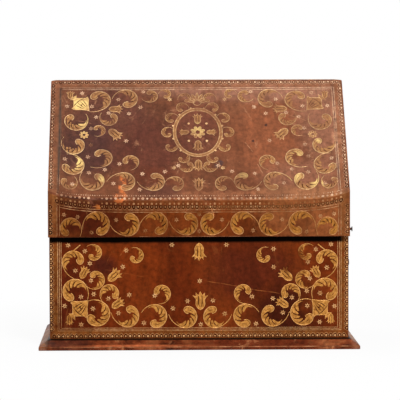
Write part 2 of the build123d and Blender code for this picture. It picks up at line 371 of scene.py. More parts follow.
def makeGilt(name, look, gilt):
    material, shader, place = startMaterial(name)
    skin = leatherTone(place, look)
    rubbed = blend(gilding["stained"], skin, gilt["stainTone"])  # the leather under it is stained
    patches = times(cloud(place, 42.0, 5.0, 0.68, warp=0.4), gilding["patches"])
    kept = plus(patches, times(cloud(place, 9.0, 3.0, 0.5), gilding["broad"]))
    for centre, radii, loss in gilt["rubbed"]:
        kept = minus(kept, times(stain(place, centre, radii), loss))
    leaf = spread(kept, gilt["gone"], gilt["whole"])
    # the gold goes dark in the painted shadow under the lip
    if "black" in look:
        shadowed = paintedLipShadow(place, look)
        leaf = times(leaf, spread(shadowed, 0, 1, 1, 0))
        rubbed = blend(shadowed, rubbed, skin)
    gold = blend(grained(place, "goldTone"), gilt["deep"], gilt["bright"])
    # painted highlights on the gold
    for centre, radii in gilt.get("gleams", []):
        shine = times(stain(place, centre, radii, **gleam), gilding["gleaming"])
        gold = blend(shine, gold, gilding["gleamTone"])
    plug(shader, {"Base Color": blend(leaf, rubbed, gold), "Metallic": times(leaf, gilt["metal"]),
                  "Roughness": spread(leaf, 0.0, 1.0, *gilding["roughness"]),
                  "Normal": leatherRelief(place, look), "Specular IOR Level": look["sheen"],
                  "Specular Tint": look["varnish"]})
    return material


wood = {
    "squeeze": 0.07, "waves": {"Distortion": 5.0, "Detail": 3.0, "Detail Scale": 1.4},
    "fibre": (420.0, 4.0, 0.7),
    "ringShare": 0.28, "fibreShare": 0.72, "stops": (0.26, 0.74, 0.48), "aged": 0.45, "uneven": 0.08,
    "relief": (0.25, 0.0004), "sheen": 0.3,
}


def makeWood(name, look, along):                 # along is the axis the grain follows
    material, shader, place = startMaterial(name)
    squeeze = tuple(wood["squeeze"] if axis == along else 1.0 for axis in "xyz")
    flow = addNode("Mapping", {"Vector": place, "Scale": squeeze}).outputs[0]
    waves = {"Vector": flow, "Scale": look["rings"], **wood["waves"]}
    rings = addNode("TexWave", waves, bands_direction="DIAGONAL").outputs["Fac"]
    fibre = cloud(flow, *wood["fibre"])
    figure = plus(times(rings, wood["ringShare"]), times(fibre, wood["fibreShare"]))
    tone = ramp(figure, *zip(wood["stops"], (look["dark"], look["light"], look["middle"])))
    aged = blend(times(grained(place, "woodAge"), wood["aged"]), tone, look["aged"])
    rough = spread(fibre, 0.3, 0.7, look["roughness"] - wood["uneven"], look["roughness"] + wood["uneven"])
    plug(shader, {"Base Color": aged, "Roughness": rough, "Normal": bump(fibre, *wood["relief"]),
                  "Specular IOR Level": wood["sheen"]})
    return material


def makePaper(name, look):                       # combed and marbled lining paper, dulled by age
    material, shader, place = startMaterial(name)
    swirl = cloud(place, look["swirlScale"], 3.0, 0.45, warp=3.2)
    tone = ramp(swirl, *[(at, look[colour]) for at, colour in look["combed"]])
    drops = spread(cells(place, 95.0), 0.20, 0.12)
    tone = blend(times(drops, 0.7), tone, look["vein"])
    foxed = blend(times(grained(place, "foxing"), 0.5), tone, look["foxed"])
    fibres = cloud(place, 520.0, 4.0, 0.75)
    plug(shader, {"Base Color": foxed, "Normal": bump(fibres, 0.22, 0.0003),
                  "Roughness": spread(fibres, 0.3, 0.7, 0.72, 0.9), "Specular IOR Level": 0.2})
    return material


def makeIron(name, look):                        # hand-filed black iron with a little rust
    material, shader, place = startMaterial(name)
    tone = ramp(cloud(place, 90.0, 5.0, 0.65), (0.34, look["dark"]), (0.68, look["light"]))
    rust = grained(place, "rust")
    strokes = cloud(place, 700.0, 3.0, 0.6, (1, 0.2, 1))
    height = plus(times(strokes, 0.3), times(cells(place, 240.0, feature="SMOOTH_F1"), 0.7))
    rusty = blend(times(rust, 0.8), tone, look["rust"])
    plug(shader, {"Base Color": rusty, "Metallic": spread(rust, 0, 1, 0.85, 0.15),
                  "Roughness": spread(rust, 0, 1, 0.42, 0.85), "Normal": bump(height, 0.35, 0.0003)})
    return material


# Modelling steps

touching = 1e-5                      # metres within which two points are level


def clearSelection():
    if bpy.context.object and bpy.context.object.mode != "OBJECT":
        bpy.ops.object.mode_set(mode="OBJECT")
    bpy.ops.object.select_all(action="DESELECT")


def pick(piece):
    clearSelection()
    piece.select_set(True)
    bpy.context.view_layer.objects.active = piece


def named(name):
    piece = bpy.context.active_object
    piece.name = piece.data.name = name
    return piece


def gather(name, parts):
    pick(parts[0])
    for part in parts[1:]:
        part.select_set(True)
    if len(parts) > 1:
        bpy.ops.object.join()
    return named(name)


def settle(piece):                   # its place goes into its mesh
    pick(piece)
    bpy.ops.object.transform_apply(location=True, rotation=True, scale=True)
    return piece


def addBlock(name, low, high):
    clearSelection()
    middle = [(a + b) / 2 for a, b in zip(low, high)]
    bpy.ops.mesh.primitive_cube_add(size=1, location=middle, scale=[b - a for a, b in zip(low, high)])
    return settle(named(name))


def edit(piece, kind="FACE"):
    pick(piece)
    bpy.ops.object.mode_set(mode="EDIT")
    bpy.ops.mesh.select_mode(type=kind)
    bpy.ops.mesh.select_all(action="DESELECT")


def takeAll():
    bpy.ops.mesh.select_all(action="SELECT")


def leaveEdit():
    bpy.ops.object.mode_set(mode="OBJECT")


def choose(piece, wanted, kind="FACE"):          # faces by middle and normal, or edges by their two ends
    leaveEdit()
    mesh = piece.data
    for group in (mesh.vertices, mesh.edges, mesh.polygons):
        for item in group:
            item.select = False
    if kind == "EDGE":
        for edge in mesh.edges:
            edge.select = wanted(*[mesh.vertices[n].co for n in edge.vertices])
    else:
        for face in mesh.polygons:
            face.select = wanted(face.center, face.normal)
    bpy.ops.object.mode_set(mode="EDIT")
    bpy.ops.mesh.select_mode(type=kind)


def bevelEdges(piece, wanted, width, segments, material=-1):
    choose(piece, wanted, "EDGE")
    bpy.ops.mesh.bevel(offset=width, segments=segments, affect="EDGES", material=material)


def openAt(piece, wanted):           # take faces away
    choose(piece, wanted)
    bpy.ops.mesh.delete(type="FACE")


def finishWith(piece, kind, **settings):         # add a modifier and apply it
    pick(piece)
    step = piece.modifiers.new(kind.lower(), kind)
    for key, value in settings.items():
        setattr(step, key, value)
    bpy.ops.object.modifier_apply(modifier=step.name)


def thicken(piece, thickness):       # inwards
    finishWith(piece, "SOLIDIFY", thickness=thickness, offset=-1, use_even_offset=True)


def cutHingeRooms(piece, low, high):             # room for the leaves at the back's top edge
    for side in (-1, 1):
        x = side * case["hingeAt"]
        near, far = case["hingeFrom"], case["hingeTo"]
        cutter = addBlock("cutter", (x - case["hingeHalf"], near, low), (x + case["hingeHalf"], far, high))
        finishWith(piece, "BOOLEAN", operation="DIFFERENCE", object=cutter, solver="EXACT")
        bpy.data.objects.remove(cutter, do_unlink=True)


def smooth(piece, angle=35):
    pick(piece)
    bpy.ops.object.shade_smooth_by_angle(angle=math.radians(angle))


def dress(piece, *materials):
    piece.data.materials.clear()
    for material in materials:
        piece.data.materials.append(material)


def dressFaces(piece, slotNumber, wanted):
    for face in piece.data.polygons:
        if wanted(face.center, face.normal):
            face.material_index = slotNumber


# The three leather skins

case = {
    "halfWidth": 164.6 * mm, "halfDepth": 99.0 * mm, "foot": 12.0 * mm, "top": 285.1 * mm,
    "frontTop": 151.2 * mm, "thickness": 1.2 * mm, "corner": 1.6 * mm,
    "slopeFoot": (-97.8 * mm, 167.2 * mm), "slopeTop": (12.3 * mm, 285.1 * mm),      # y, z of the slant
    "innerX": 155.4 * mm, "innerY": 89.8 * mm, "turnInRound": 0.4 * mm, "turnInFront": 0.3 * mm,
    "leaf": 1.4 * mm,                # of a hinge
    "hingeAt": 100.0 * mm, "hingeHalf": 21.0 * mm, "hingeFrom": 90.0 * mm, "hingeTo": 105.0 * mm,
}


def makeCaseLeather(*leathers):
    c = case
    x, y, top = c["halfWidth"], c["halfDepth"], c["frontTop"]
    piece = addBlock("caseLeather", (-x, -y, c["foot"]), (x, y, c["top"]))
    dress(piece, *leathers)
    run, rise = (end - start for start, end in zip(c["slopeFoot"], c["slopeTop"]))
    edit(piece)
    takeAll()
    slant = Vector((0, -rise, run)).normalized()
    bpy.ops.mesh.bisect(plane_co=(0, *c["slopeFoot"]), plane_no=slant, clear_outer=True)
    openAt(piece, lambda at, way: abs(way.z) > 0.9)
    choose(piece, lambda at, way: way.y < -0.9)
    bpy.ops.mesh.bisect(plane_co=(0, 0, top), plane_no=(0, 0, 1))
    openAt(piece, lambda at, way: way.y < -0.9 and at.z > top)

    def upright(a, b):               # an edge at one of the four corners
        return max(abs(a.x - b.x), abs(a.y - b.y), abs(abs(a.y) - y)) < touching

    bevelEdges(piece, upright, c["corner"], 4, 1)
    leaveEdit()
    thicken(piece, c["thickness"])
    low = (-c["innerX"], -y + c["turnInFront"], top - c["thickness"])
    turnIn = addBlock("turnIn", low, (c["innerX"], -c["innerY"], top))
    dress(turnIn, *leathers)
    finishWith(turnIn, "BEVEL", width=c["turnInRound"], segments=2)
    cutHingeRooms(piece, c["top"] - c["leaf"], c["top"] + 5 * mm)
    piece = gather("caseLeather", [piece, turnIn])
    smooth(piece)
    return piece


lid = {
    "halfWidth": 165.6 * mm, "lipY": -105.6 * mm, "foot": 124.0 * mm, "fold": 174.0 * mm,
    "crestY": 7.4 * mm, "top": 294.65 * mm, "rearY": 99.0 * mm,
    "lipThick": 6.2 * mm, "topThick": 9.6 * mm, "thickness": 1.2 * mm,
    "foldRound": 2.4 * mm, "crestRound": 2.0 * mm, "endRound": 1.1 * mm,
    "sag": 9.3 * mm, "sagReach": 20.0 * mm, "leafRoom": (285.0 * mm, 286.8 * mm),
    "nearSkin": 0.5 * mm, "nearSlope": 0.048 * mm, "insideLip": -90 * mm, "insideTop": 200 * mm,
    "cuts": (2, 4, 7, 10, 13, 16, 20, 24, 28, 32, 37, 42, 48, 54, 61, 69, 78, 88, 100, 115, 135, 165.6),
}


def foldDrop(x):                     # distance from the lid's end, and how much lower the fold lies there
    fromEnd = max(0.0, lid["halfWidth"] - abs(x))
    return fromEnd, lid["sag"] * (1 - math.exp(-fromEnd / lid["sagReach"]))


def letFoldSag(piece):
    run = lid["crestY"] - lid["lipY"]
    for vertex in piece.data.vertices:
        at = vertex.co
        upLip = min(1.0, max(0.0, (at.z - lid["foot"]) / (lid["fold"] - lid["foot"])))
        upSlope = min(1.0, max(0.0, (at.y - lid["lipY"]) / run))
        at.z -= foldDrop(at.x)[1] * min(upLip, 1 - upSlope)
    piece.data.update()


def makeLidLeather(*leathers):
    p = lid
    run, rise = p["crestY"] - p["lipY"], p["top"] - p["fold"]
    flatAt = p["top"] - p["topThick"]
    innerLip = p["lipY"] + p["lipThick"]
    below = p["topThick"] * math.hypot(run, rise) / run          # slope's thickness, measured straight down
    innerFold = p["fold"] - below + p["lipThick"] * rise / run
    innerCrest = p["lipY"] + (flatAt - p["fold"] + below) * run / rise
    outside = [(p["lipY"], p["foot"]), (p["lipY"], p["fold"]), (p["crestY"], p["top"])]
    outside.append((p["rearY"], p["top"]))
    inside = [(p["rearY"], flatAt), (innerCrest, flatAt), (innerLip, innerFold), (innerLip, p["foot"])]
    clearSelection()
    bpy.ops.mesh.primitive_circle_add(vertices=8, fill_type="NGON")
    piece = named("lidLeather")
    dress(piece, *leathers)
    for vertex, (y, z) in zip(piece.data.vertices, outside + inside):
        vertex.co = (-p["halfWidth"], y, z)
    edit(piece)
    takeAll()
    bpy.ops.mesh.extrude_region_move(TRANSFORM_OT_translate={"value": (2 * p["halfWidth"], 0, 0)})
    takeAll()
    bpy.ops.mesh.normals_make_consistent(inside=False)

    def along(y, z):                 # an edge that runs from end to end here
        return lambda a, b: all(abs(v.y - y) < touching and abs(v.z - z) < touching for v in (a, b))

    def outer(at):                   # on the outer skin
        overSlope = (at.y - p["lipY"]) * rise - (at.z - p["fold"]) * run
        near = p["nearSkin"]
        return at.y < p["lipY"] + near or at.z > p["top"] - near or overSlope < p["nearSlope"]

    def inner(at, way):
        atLip = way.y > 0.5 and at.y < p["insideLip"]
        atTop = way.z < -0.5 and at.z > p["insideTop"]
        return atLip or atTop or (way.y > 0.2 and way.z < -0.2)

    foot = along(p["lipY"], p["foot"])

    def endEdge(a, b):
        return abs(a.x - b.x) < touching and outer(a) and outer(b) or foot(a, b)

    bevelEdges(piece, along(p["lipY"], p["fold"]), p["foldRound"], 5, 4)
    bevelEdges(piece, along(p["crestY"], p["top"]), p["crestRound"], 5, 4)
    openAt(piece, inner)
    bevelEdges(piece, endEdge, p["endRound"], 3, 1)
    for inset in p["cuts"]:          # in from the ends, so that the fold can sag
        for side in (-1, 1):
            takeAll()
            bpy.ops.mesh.bisect(plane_co=(side * (p["halfWidth"] - inset * mm), 0, 0), plane_no=(1, 0, 0))
    takeAll()
    bpy.ops.mesh.remove_doubles(threshold=1e-6)
    leaveEdit()
    letFoldSag(piece)
    thicken(piece, p["thickness"])
    cutHingeRooms(piece, *p["leafRoom"])
    smooth(piece)
    return piece


plinth = {
    "halfX": 176.5 * mm, "halfY": 110.9 * mm, "foot": 0.3 * mm, "edgeTop": 3.8 * mm,
    "top": 12.0 * mm, "skin": 0.8 * mm, "round": 0.7 * mm,
}


def makePlinthLeather(*leathers):
    p = plinth
    x, y, edge = p["halfX"], p["halfY"], p["edgeTop"]
    piece = addBlock("plinthLeather", (-x, -y, p["foot"]), (x, y, edge))
    dress(piece, *leathers)
    edit(piece)
    choose(piece, lambda at, way: way.z > 0.9)
    bpy.ops.mesh.extrude_region_move(TRANSFORM_OT_translate={"value": (0, 0, p["top"] - edge)})
    bpy.ops.transform.resize(value=(case["halfWidth"] / x, case["halfDepth"] / y, 1))
    openAt(piece, lambda at, way: abs(way.z) > 0.95)
    bevelEdges(piece, lambda a, b: abs(a.z - b.z) > 1 * mm, p["round"], 3)       # the corners, then the rim
    bevelEdges(piece, lambda a, b: all(abs(v.z - edge) < 0.2 * mm for v in (a, b)), p["round"], 3, 1)
    leaveEdit()
    thicken(piece, p["skin"])
    smooth(piece)
    return piece


# Gilt tooling: each tool is modelled once, flat, about a radius of 1, then pressed many times

tool = {
    "line": 0.042, "fineLine": 0.040, "plate": 0.006,            # parts of the tool's radius
    "height": 12.0 * mm, "flatten": 0.34, "merge": 0.0004,
    "longStem": 1.55, "shortStem": 1.22,
}


def polar(radius, degrees):
    return (radius * math.cos(math.radians(degrees)), radius * math.sin(math.radians(degrees)))


def around(weight, *spots):          # points at (radius, degrees)
    return [(*polar(radius, turn), weight) for radius, turn in spots]


# A stroke is (points, closed) and a point is (x, y, weight), with a word after it where the line is sharp

def curves(name, strokes, steps, dimensions="3D"):
    clearSelection()
    bpy.ops.curve.primitive_bezier_curve_add()
    piece = named(name)
    piece.data.splines.clear()
    piece.data.dimensions = dimensions
    piece.data.resolution_u = steps
    for points, closed in strokes:
        spline = piece.data.splines.new("BEZIER")
        spline.bezier_points.add(len(points) - 1)
        spline.use_cyclic_u = closed
        for knot, (x, y, weight, *sharp) in zip(spline.bezier_points, points):
            knot.co = (x, y, 0)
            knot.radius = weight
            knot.handle_left_type = knot.handle_right_type = "VECTOR" if sharp else "AUTO"
    return piece


def toMesh(piece):
    pick(piece)
    bpy.ops.object.convert(target="MESH")
    return bpy.context.active_object


def drawn(name, strokes, width, steps=2):        # raised lines
    piece = curves(name, strokes, steps)
    piece.data.bevel_depth = width
    piece.data.bevel_resolution = 0
    piece.data.use_fill_caps = True
    piece = toMesh(piece)
    piece.data.transform(Matrix.Diagonal((1, 1, tool["flatten"], 1)))
    return piece


def filled(name, outlines, steps=2):             # thin plates inside closed lines
    piece = curves(name, [(points, True) for points in outlines], steps, "2D")
    piece.data.fill_mode = "BOTH"
    piece.data.extrude = tool["plate"]
    return toMesh(piece)


def asTool(name, *parts):            # lines, then plates, then dark slits, each in its own material
    made = [part for part in parts if part]
    for number, part in enumerate(parts):
        if part:
            dress(part, leafLine, leafWash, slitTone)
            for face in part.data.polygons:
                face.material_index = number
    piece = gather(name, made)
    edit(piece)
    takeAll()
    bpy.ops.mesh.remove_doubles(threshold=tool["merge"])
    bpy.ops.mesh.normals_make_consistent(inside=False)
    leaveEdit()
    return piece


def scrollTool(name, stem):          # acanthus scroll, turning to the left from a stem at its right
    rim = []
    for turn in (0, 20, 45, 65):
        rim += around(0.6 + turn / 160, (1 + (stem - 1) * (1 - turn / 80) ** 2, turn))
    rim += around(1.15, *[(1, turn) for turn in (90, 120, 150, 180, 210, 232)])
    rim += around(1.05, (0.99, 252), (0.90, 274), (0.72, 290), (0.48, 290), (0.34, 266), (0.38, 238))
    leaf = [(*polar(0.93, 34), 1, "root")]
    leaf += around(1, *[(0.95, turn) for turn in (60, 90, 120, 150, 180, 205)])
    leaf += around(1, (0.96, 230), (0.94, 252), (0.85, 271), (0.68, 285))
    leaf += around(1, (0.49, 282), (0.40, 262), (0.47, 240), (0.62, 222))
    slits = []
    for turn, depth in [(185, 0.46), (150, 0.40), (115, 0.38), (80, 0.36)]:    # round lobes that lean forward
        leaf.append((*polar(0.84, turn + 10), 1, "notch"))
        leaf += around(1, (0.62, turn + 20), (depth, turn + 24), (depth + 0.04, turn + 8), (0.66, turn - 10))
        slit = around(0.4, (0.92, turn - 8)) + around(1.0, (0.86, turn + 4))
        slits.append((slit + around(1.5, (0.74, turn + 15), (0.58, turn + 24)), False))
    leaf += around(1, (0.82, 58))
    slits.append((around(0.5, (0.80, 222)) + around(1.1, (0.72, 242)) + around(0.6, (0.66, 264)), False))
    return asTool(name, drawn("rim", [(rim, False)], tool["line"], 3), filled("leaf", [leaf]),
                  drawn("slits", slits, tool["fineLine"]))


def starTool(valley=0.46, middle=0.36, thickness=0.022):
    clearSelection()
    bpy.ops.mesh.primitive_circle_add(vertices=12, radius=1)
    piece = named("star")
    for vertex in list(piece.data.vertices)[1::2]:
        vertex.co *= valley
    edit(piece, "EDGE")
    takeAll()
    bpy.ops.mesh.extrude_edges_move()
    bpy.ops.transform.resize(value=(middle, middle, 1))
    leaveEdit()
    finishWith(piece, "SOLIDIFY", thickness=thickness, offset=0)
    return asTool("star", piece)


def pearlTool(height=0.015):
    clearSelection()
    bpy.ops.mesh.primitive_uv_sphere_add(segments=8, ring_count=5, radius=1, scale=(1, 1, height))
    return asTool("pearl", settle(named("pearl")))


def mirroredOutline(half):           # from the right half of a shape, from its foot up to its top
    return half + [(-x, *rest) for x, *rest in reversed(half[1:-1])]


def tulipTool():                     # ribbed bell opening upwards, with a toothed rim
    outline = mirroredOutline([
        (0.0, -1.0, 1, "foot"), (0.30, -0.80, 1), (0.50, -0.36, 1), (0.46, 0.16, 1), (0.84, 0.58, 1, "tip"),
        (0.46, 0.46, 1, "notch"), (0.50, 0.88, 1, "tip"), (0.22, 0.56, 1, "notch"), (0.0, 1.0, 1, "tip")])
    slits = [([(0.10 * s, -0.70, 0.5), (0.20 * s, -0.2, 1.2), (0.17 * s, 0.52, 1.0)], False) for s in (-1, 1)]
    return asTool("tulip", drawn("petals", [(outline, True)], 0.05), filled("bell", [outline]),
                  drawn("slits", slits, 0.062))


def vaseTool():                      # vase with a pointed cover, ears at its sides and a small foot
    body = mirroredOutline([
        (0.0, -0.92, 1), (0.16, -0.88, 1), (0.34, -0.70, 1), (0.58, -0.46, 1), (0.80, -0.26, 1, "notch"),
        (1.04, -0.26, 1, "tip"), (0.92, 0.02, 1), (0.64, 0.28, 1), (0.34, 0.60, 1), (0.0, 1.06, 1, "tip")])
    stand = [(x, z, 1, "corner") for x, z in ((-0.44, -1.16), (0.44, -1.16), (0.16, -0.94), (-0.16, -0.94))]
    slits = []
    for n in range(4):               # ribs
        foot, belly, neck = -0.45 + n * 0.30, -0.39 + n * 0.26, -0.22 + n * 0.15
        slits.append([(foot, -0.36, 0.7), (belly, 0.06, 1.2), (neck, 0.50, 0.7)])
    for up in (0.0, 0.5):            # bands
        slits.append([(-0.70 + up, -0.36 + up, 0.8), (0.0, -0.48 + up, 1.2), (0.70 - up, -0.36 + up, 0.8)])
    return asTool("vase", drawn("ears", [(body, True), (stand, True)], 0.045), filled("body", [body, stand]),
                  drawn("slits", [(slit, False) for slit in slits], 0.055))


def fanTool():                       # palmette of seven leaves over a bow
    leaves, slits = [], []
    for turn in range(6, 175, 28):
        reach = 0.78 + 0.22 * math.sin(math.radians(turn))
        leaves.append([(*polar(0.16, turn), 1, "root"), *around(1, (reach * 0.62, turn - 11)),
                       (*polar(reach, turn), 1, "tip"), *around(1, (reach * 0.62, turn + 11))])
        slits.append((around(0.6, (0.26, turn)) + around(1, (reach * 0.7, turn)), False))
    bow = around(1, *[(0.34, turn) for turn in (160, 205, 270, 335, 380)])
    lines = [(leaf, True) for leaf in leaves] + [(bow, False)]
    return asTool("fan", drawn("leaves", lines, 0.04), filled("fanPlates", leaves),
                  drawn("slits", slits, 0.026, 1))


def rosetteTool():                   # eight petals round an open middle
    petals = []
    for turn in range(0, 360, 45):
        petals.append(around(1, (0.30, turn), (0.66, turn - 17), (0.98, turn), (0.66, turn + 17)))
    lines = drawn("petals", [(petal, True) for petal in petals], 0.05)
    return asTool("rosette", lines, filled("petalPlates", petals))


def toothTool():                     # a dark arch under a gilt line, to stand over a pearl
    half = [(-0.46, -0.30, 1, "foot"), (-0.38, 0.16, 1)]
    arch = half + [(0, 0.50, 1, "tip"), (0.38, 0.16, 1), (0.46, -0.30, 1, "foot")]
    line = [(x * 1.2, y * 1.16 + 0.05, 0.9) for x, y, *rest in arch]
    return asTool("tooth", drawn("archLine", [(line, False)], 0.04), None, filled("arch", [arch]))


# A place is (tool, x, y, size, angle); where its size is below 0 the tool is turned over

def press(tools, places, line, wash):
    copies = []
    for name, x, y, size, angle in places:
        copy = tools[name].copy()
        copy.data = tools[name].data.copy()
        bpy.context.scene.collection.objects.link(copy)
        turned = Matrix.Rotation(math.radians(angle), 4, "Z")
        grown = Matrix.Diagonal((abs(size) * mm, size * mm, tool["height"], 1))
        copy.data.transform(Matrix.Translation((x * mm, y * mm, 0)) @ turned @ grown)
        if size < 0:
            copy.data.flip_normals()
        for number, material in enumerate((line, wash, slitTone)):
            copy.data.materials[number] = material
        copies.append(copy)
    return copies


def layOn(piece, at, tilt, turn=0):              # from the flat onto its panel
    piece.rotation_euler = (math.radians(tilt), 0, math.radians(turn))
    piece.location = at
    return settle(piece)


ruled = {"pitch": 400.0, "foldPitch": 6.0, "width": 0.42}        # millimetres; short steps can follow the fold


def rules(strokes, line, pitch=ruled["pitch"], width=ruled["width"]):        # with a knot at every pitch
    paths = []
    for corners, closed in strokes:
        knots = []
        for start, end in zip(corners, corners[1:] + corners[:1] * closed):
            count = max(1, round(math.dist(start, end) / pitch))
            knots += [[a + (b - a) * n / count for a, b in zip(start, end)] for n in range(count)]
        knots += [] if closed else [corners[-1]]
        paths.append(([(x * mm, y * mm, 1, "corner") for x, y in knots], closed))
    piece = drawn("rules", paths, width * mm, 3)
    dress(piece, line)
    return piece


roll = {"pitch": 4.9, "pearl": 1.0, "bigPearl": 1.35}


# Pearls in a row, each under an arch on the left of the way from start to end

def rollRow(start, end, pitch=roll["pitch"], pearl=roll["pearl"], teeth=True):
    length = math.dist(start, end)
    count = round(length / pitch)
    angle = math.degrees(math.atan2(end[1] - start[1], end[0] - start[0]))
    places = []
    for n in range(count):
        x, y = (a + (b - a) * (n + 0.5) / count for a, b in zip(start, end))
        places.append(("pearl", x, y, pearl * (roll["bigPearl"] if n % 2 else 1.0), angle))
        if teeth:
            places.append(("tooth", x, y, length / count, angle))
    return places


def rolls(ends):                     # a row for each start and end
    return [place for start, end in ends for place in rollRow(start, end)]


def offGap(places):                  # leave out what has been rubbed away on the fold
    return [place for place in places if not lipDesign["gap"][0] < place[1] < lipDesign["gap"][1]]


def turnOver(name, size, angle, upright=0):      # the tools other than scrolls are alike on both sides
    return (-size, 180 - upright - angle) if name.endswith("Scroll") else (size, upright - angle)


def bothSides(places, farther=0.0):  # the same on the right, a little farther out where the finisher strayed
    right = []
    for name, x, y, size, angle in places:
        right.append((name, farther - x, y, *turnOver(name, size, angle)))
    return places + right


def stars(size, spots):
    return [("star", x, y, size, (x * 7) % 60) for x, y in spots]


# Places below are in millimetres on each panel: across from its middle and up

frontDesign = {
    "scrolls": [
        ("longScroll", -138.4, 96.6, -12.0, -87), ("shortScroll", -115.6, 106.8, -8.5, 140),
        ("shortScroll", -114.0, 76.4, 9.8, 212), ("shortScroll", -136.4, 64.0, 13.4, -35),
        ("shortScroll", -112.4, 39.6, -13.8, 123), ("shortScroll", -98.8, 61.2, -10.2, 246),
        ("longScroll", -78.9, 36.7, 12.2, 167), ("shortScroll", -48.7, 36.3, -12.8, 166),
        ("longScroll", -15.1, 35.5, 12.3, 171), ("shortScroll", -69.3, 103.3, -8.0, 120),
    ],
    "flowers": [
        ("vase", -130.8, 45.4, 11.4, -45), ("tulip", -142.8, 32.6, 5.8, 180),
        ("tulip", -126.6, 84.8, 7.2, -28), ("tulip", -93.4, 81.5, 8.6, -48), ("tulip", -89.6, 50.4, 7.6, -55),
    ],
    "middle": [
        ("tulip", 1.2, 53.2, 10.0, 0), ("tulip", 0, 107.0, 9.6, 180), ("shortScroll", -41.2, 61.0, 9.5, 253),
        ("shortScroll", 48.2, 61.0, -9.7, -73),
    ],
    "stars": [
        (-144, 115), (-125.5, 108.4), (-120, 95), (-136, 87), (-119, 76), (-130, 58), (-116, 61), (-100, 56),
        (-117, 45), (-148, 48), (-130, 27.5), (-89, 40), (-77, 60), (-80, 109), (-84, 91), (-49, 59),
        (-61, 29), (-29, 45), (-13, 53), (-30, 115), (0.6, 75), (1.6, 27), (15, 53.5), (28, 38.7), (58, 57.6),
        (81, 55.4), (92, 39.8), (62.4, 27.6), (82, 90), (81.7, 110), (30, 115), (128.4, 109.5), (145, 115),
        (119.5, 95.6), (140.5, 89.3), (121.8, 77.5), (118.4, 63.5), (133, 61), (102, 56.3), (119, 47.2),
        (149, 46.6), (132.6, 29.2),
    ],
    "strayed": 2.0, "starSize": 3.2,
    "rolls": [((-162, 14.4), (162, 14.4)), ((-162.6, 146), (-162.6, 20)), ((162.6, 20), (162.6, 146))],
    "frame": [(155.4, 20.4), (153.6, 21.8), (151.6, 23.4)], "frameTop": 148, "frameStrayed": 0.9,
    "stem": [(-138.5, 108.6), (-130.5, 115.2)], "stemWidth": 0.6,
}

lipDesign = {
    "scrolls": [
        ("shortScroll", -140.8, 134.0, 11.3, -42), ("shortScroll", -112.0, 138.4, -13.6, 200),
        ("longScroll", -78.4, 138.0, 12.6, 180), ("longScroll", -47.6, 138.4, -13.0, 197),
        ("longScroll", -14.1, 138.6, 12.4, 171),
    ],
    "stars": [(-148, 149), (-133, 146.5), (-118, 129.4), (-91, 143), (-59, 131), (-25, 143)],
    "gap": (-119.5, -111.0),         # the fold's border is rubbed away here
    "deepReach": 46.0,               # in from the ends, where the border lies deeper
    "middleStars": [(0, 149), (0, 130.5)], "starSize": 2.9,
    "rolls": [((-162.8, 160), (-162.8, 127)), ((162.8, 127), (162.8, 160))],
    "rules": (153.0, 155.6), "rulesFrom": 125.5, "rulesTo": 160, "foldHalf": 158, "pearlsDown": 3.0,
    "teethDown": 6.4, "smallPearl": 0.8, "fillets": [(155.6, 9.8), (153.0, 12.2)], "deeper": 1.2,
}

slopeDesign = {
    "scrolls": [
        ("longScroll", -110.6, 136.8, 12.6, 235), ("shortScroll", -136.4, 106.8, -12.7, 45),
        ("shortScroll", -80.4, 139.0, -12.8, 180), ("shortScroll", -99.6, 111.2, 9.6, 135),
        ("shortScroll", -139.0, 73.0, 12.4, 135), ("shortScroll", -139.6, 45.5, -13.0, 114),
        ("longScroll", -107.0, 56.4, 11.4, 225), ("shortScroll", -117.3, 25.6, 13.0, 135),
        ("shortScroll", -142.6, 20.6, -8.8, 60), ("shortScroll", -75.1, 50.9, 9.0, 270),
        ("longScroll", -82.6, 24.5, -12.2, 180), ("longScroll", -49.7, 24.6, 11.8, 180),
        ("shortScroll", -26.3, 21.6, -9.6, 180), ("shortScroll", -53.0, 142.5, 8.2, 200),
        ("shortScroll", -36.0, 146.0, -6.4, 180), ("shortScroll", -110.6, 94.2, 7.2, 235),
    ],
    "flowers": [
        ("vase", -130.6, 131.0, 11.6, -135), ("tulip", -143.4, 144.4, 5.8, 0),
        ("tulip", -91.6, 124.5, 8.0, -90), ("tulip", -92.6, 89.6, 9.0, -135),
        ("rosette", -127.1, 88.0, 5.4, 0),
    ],
    "middle": [("tulip", 0, 21.0, 8.6, 0)],
    "stars": [
        (-130, 147), (-147, 127.5), (-119, 128), (-114, 113), (-89, 138), (-61, 149), (-77, 118), (-80, 80),
        (-64, 127), (-119.5, 97), (-100, 119), (-148, 52.5), (-122.5, 57.5), (-121, 36), (-119.5, 74),
        (-139, 19), (-103.5, 40.5), (-87.5, 48.5), (-94, 22), (-62, 35), (-22, 46), (-37, 38), (-65, 14),
    ],
    "strayed": 1.5, "starSize": 3.1,
    "rolls": [((162, 162.4), (-162, 162.4)), ((-162.8, 160), (-162.8, 6)), ((162.8, 6), (162.8, 160))],
    "pearlsUp": 1.9, "pearl": 1.25, "finePearlsUp": 5.6, "finePitch": 2.5, "finePearl": 0.5,
    "frameFoot": 5.0, "frame": [(155.6, 154.5), (153.2, 152.1)],
}


def makeFrontTooling(tools, line, wash, worn):
    d = frontDesign
    places = bothSides(d["scrolls"] + d["flowers"], d["strayed"]) + d["middle"]
    border = stars(d["starSize"], d["stars"]) + rolls(d["rolls"])
    top, off = d["frameTop"], d["frameStrayed"]
    frames = [([(-x, top), (-x, z), (x + off, z), (x + off, top)], False) for x, z in d["frame"]]
    stems = [([(s * x, z) for x, z in d["stem"]], False) for s in (-1, 1)]
    marks = press(tools, places, line, wash) + press(tools, border, worn, worn)
    marks += [rules(frames, worn), rules(stems, line, width=d["stemWidth"])]
    return layOn(gather("frontTooling", marks), (0, -case["halfDepth"], 0), 90)


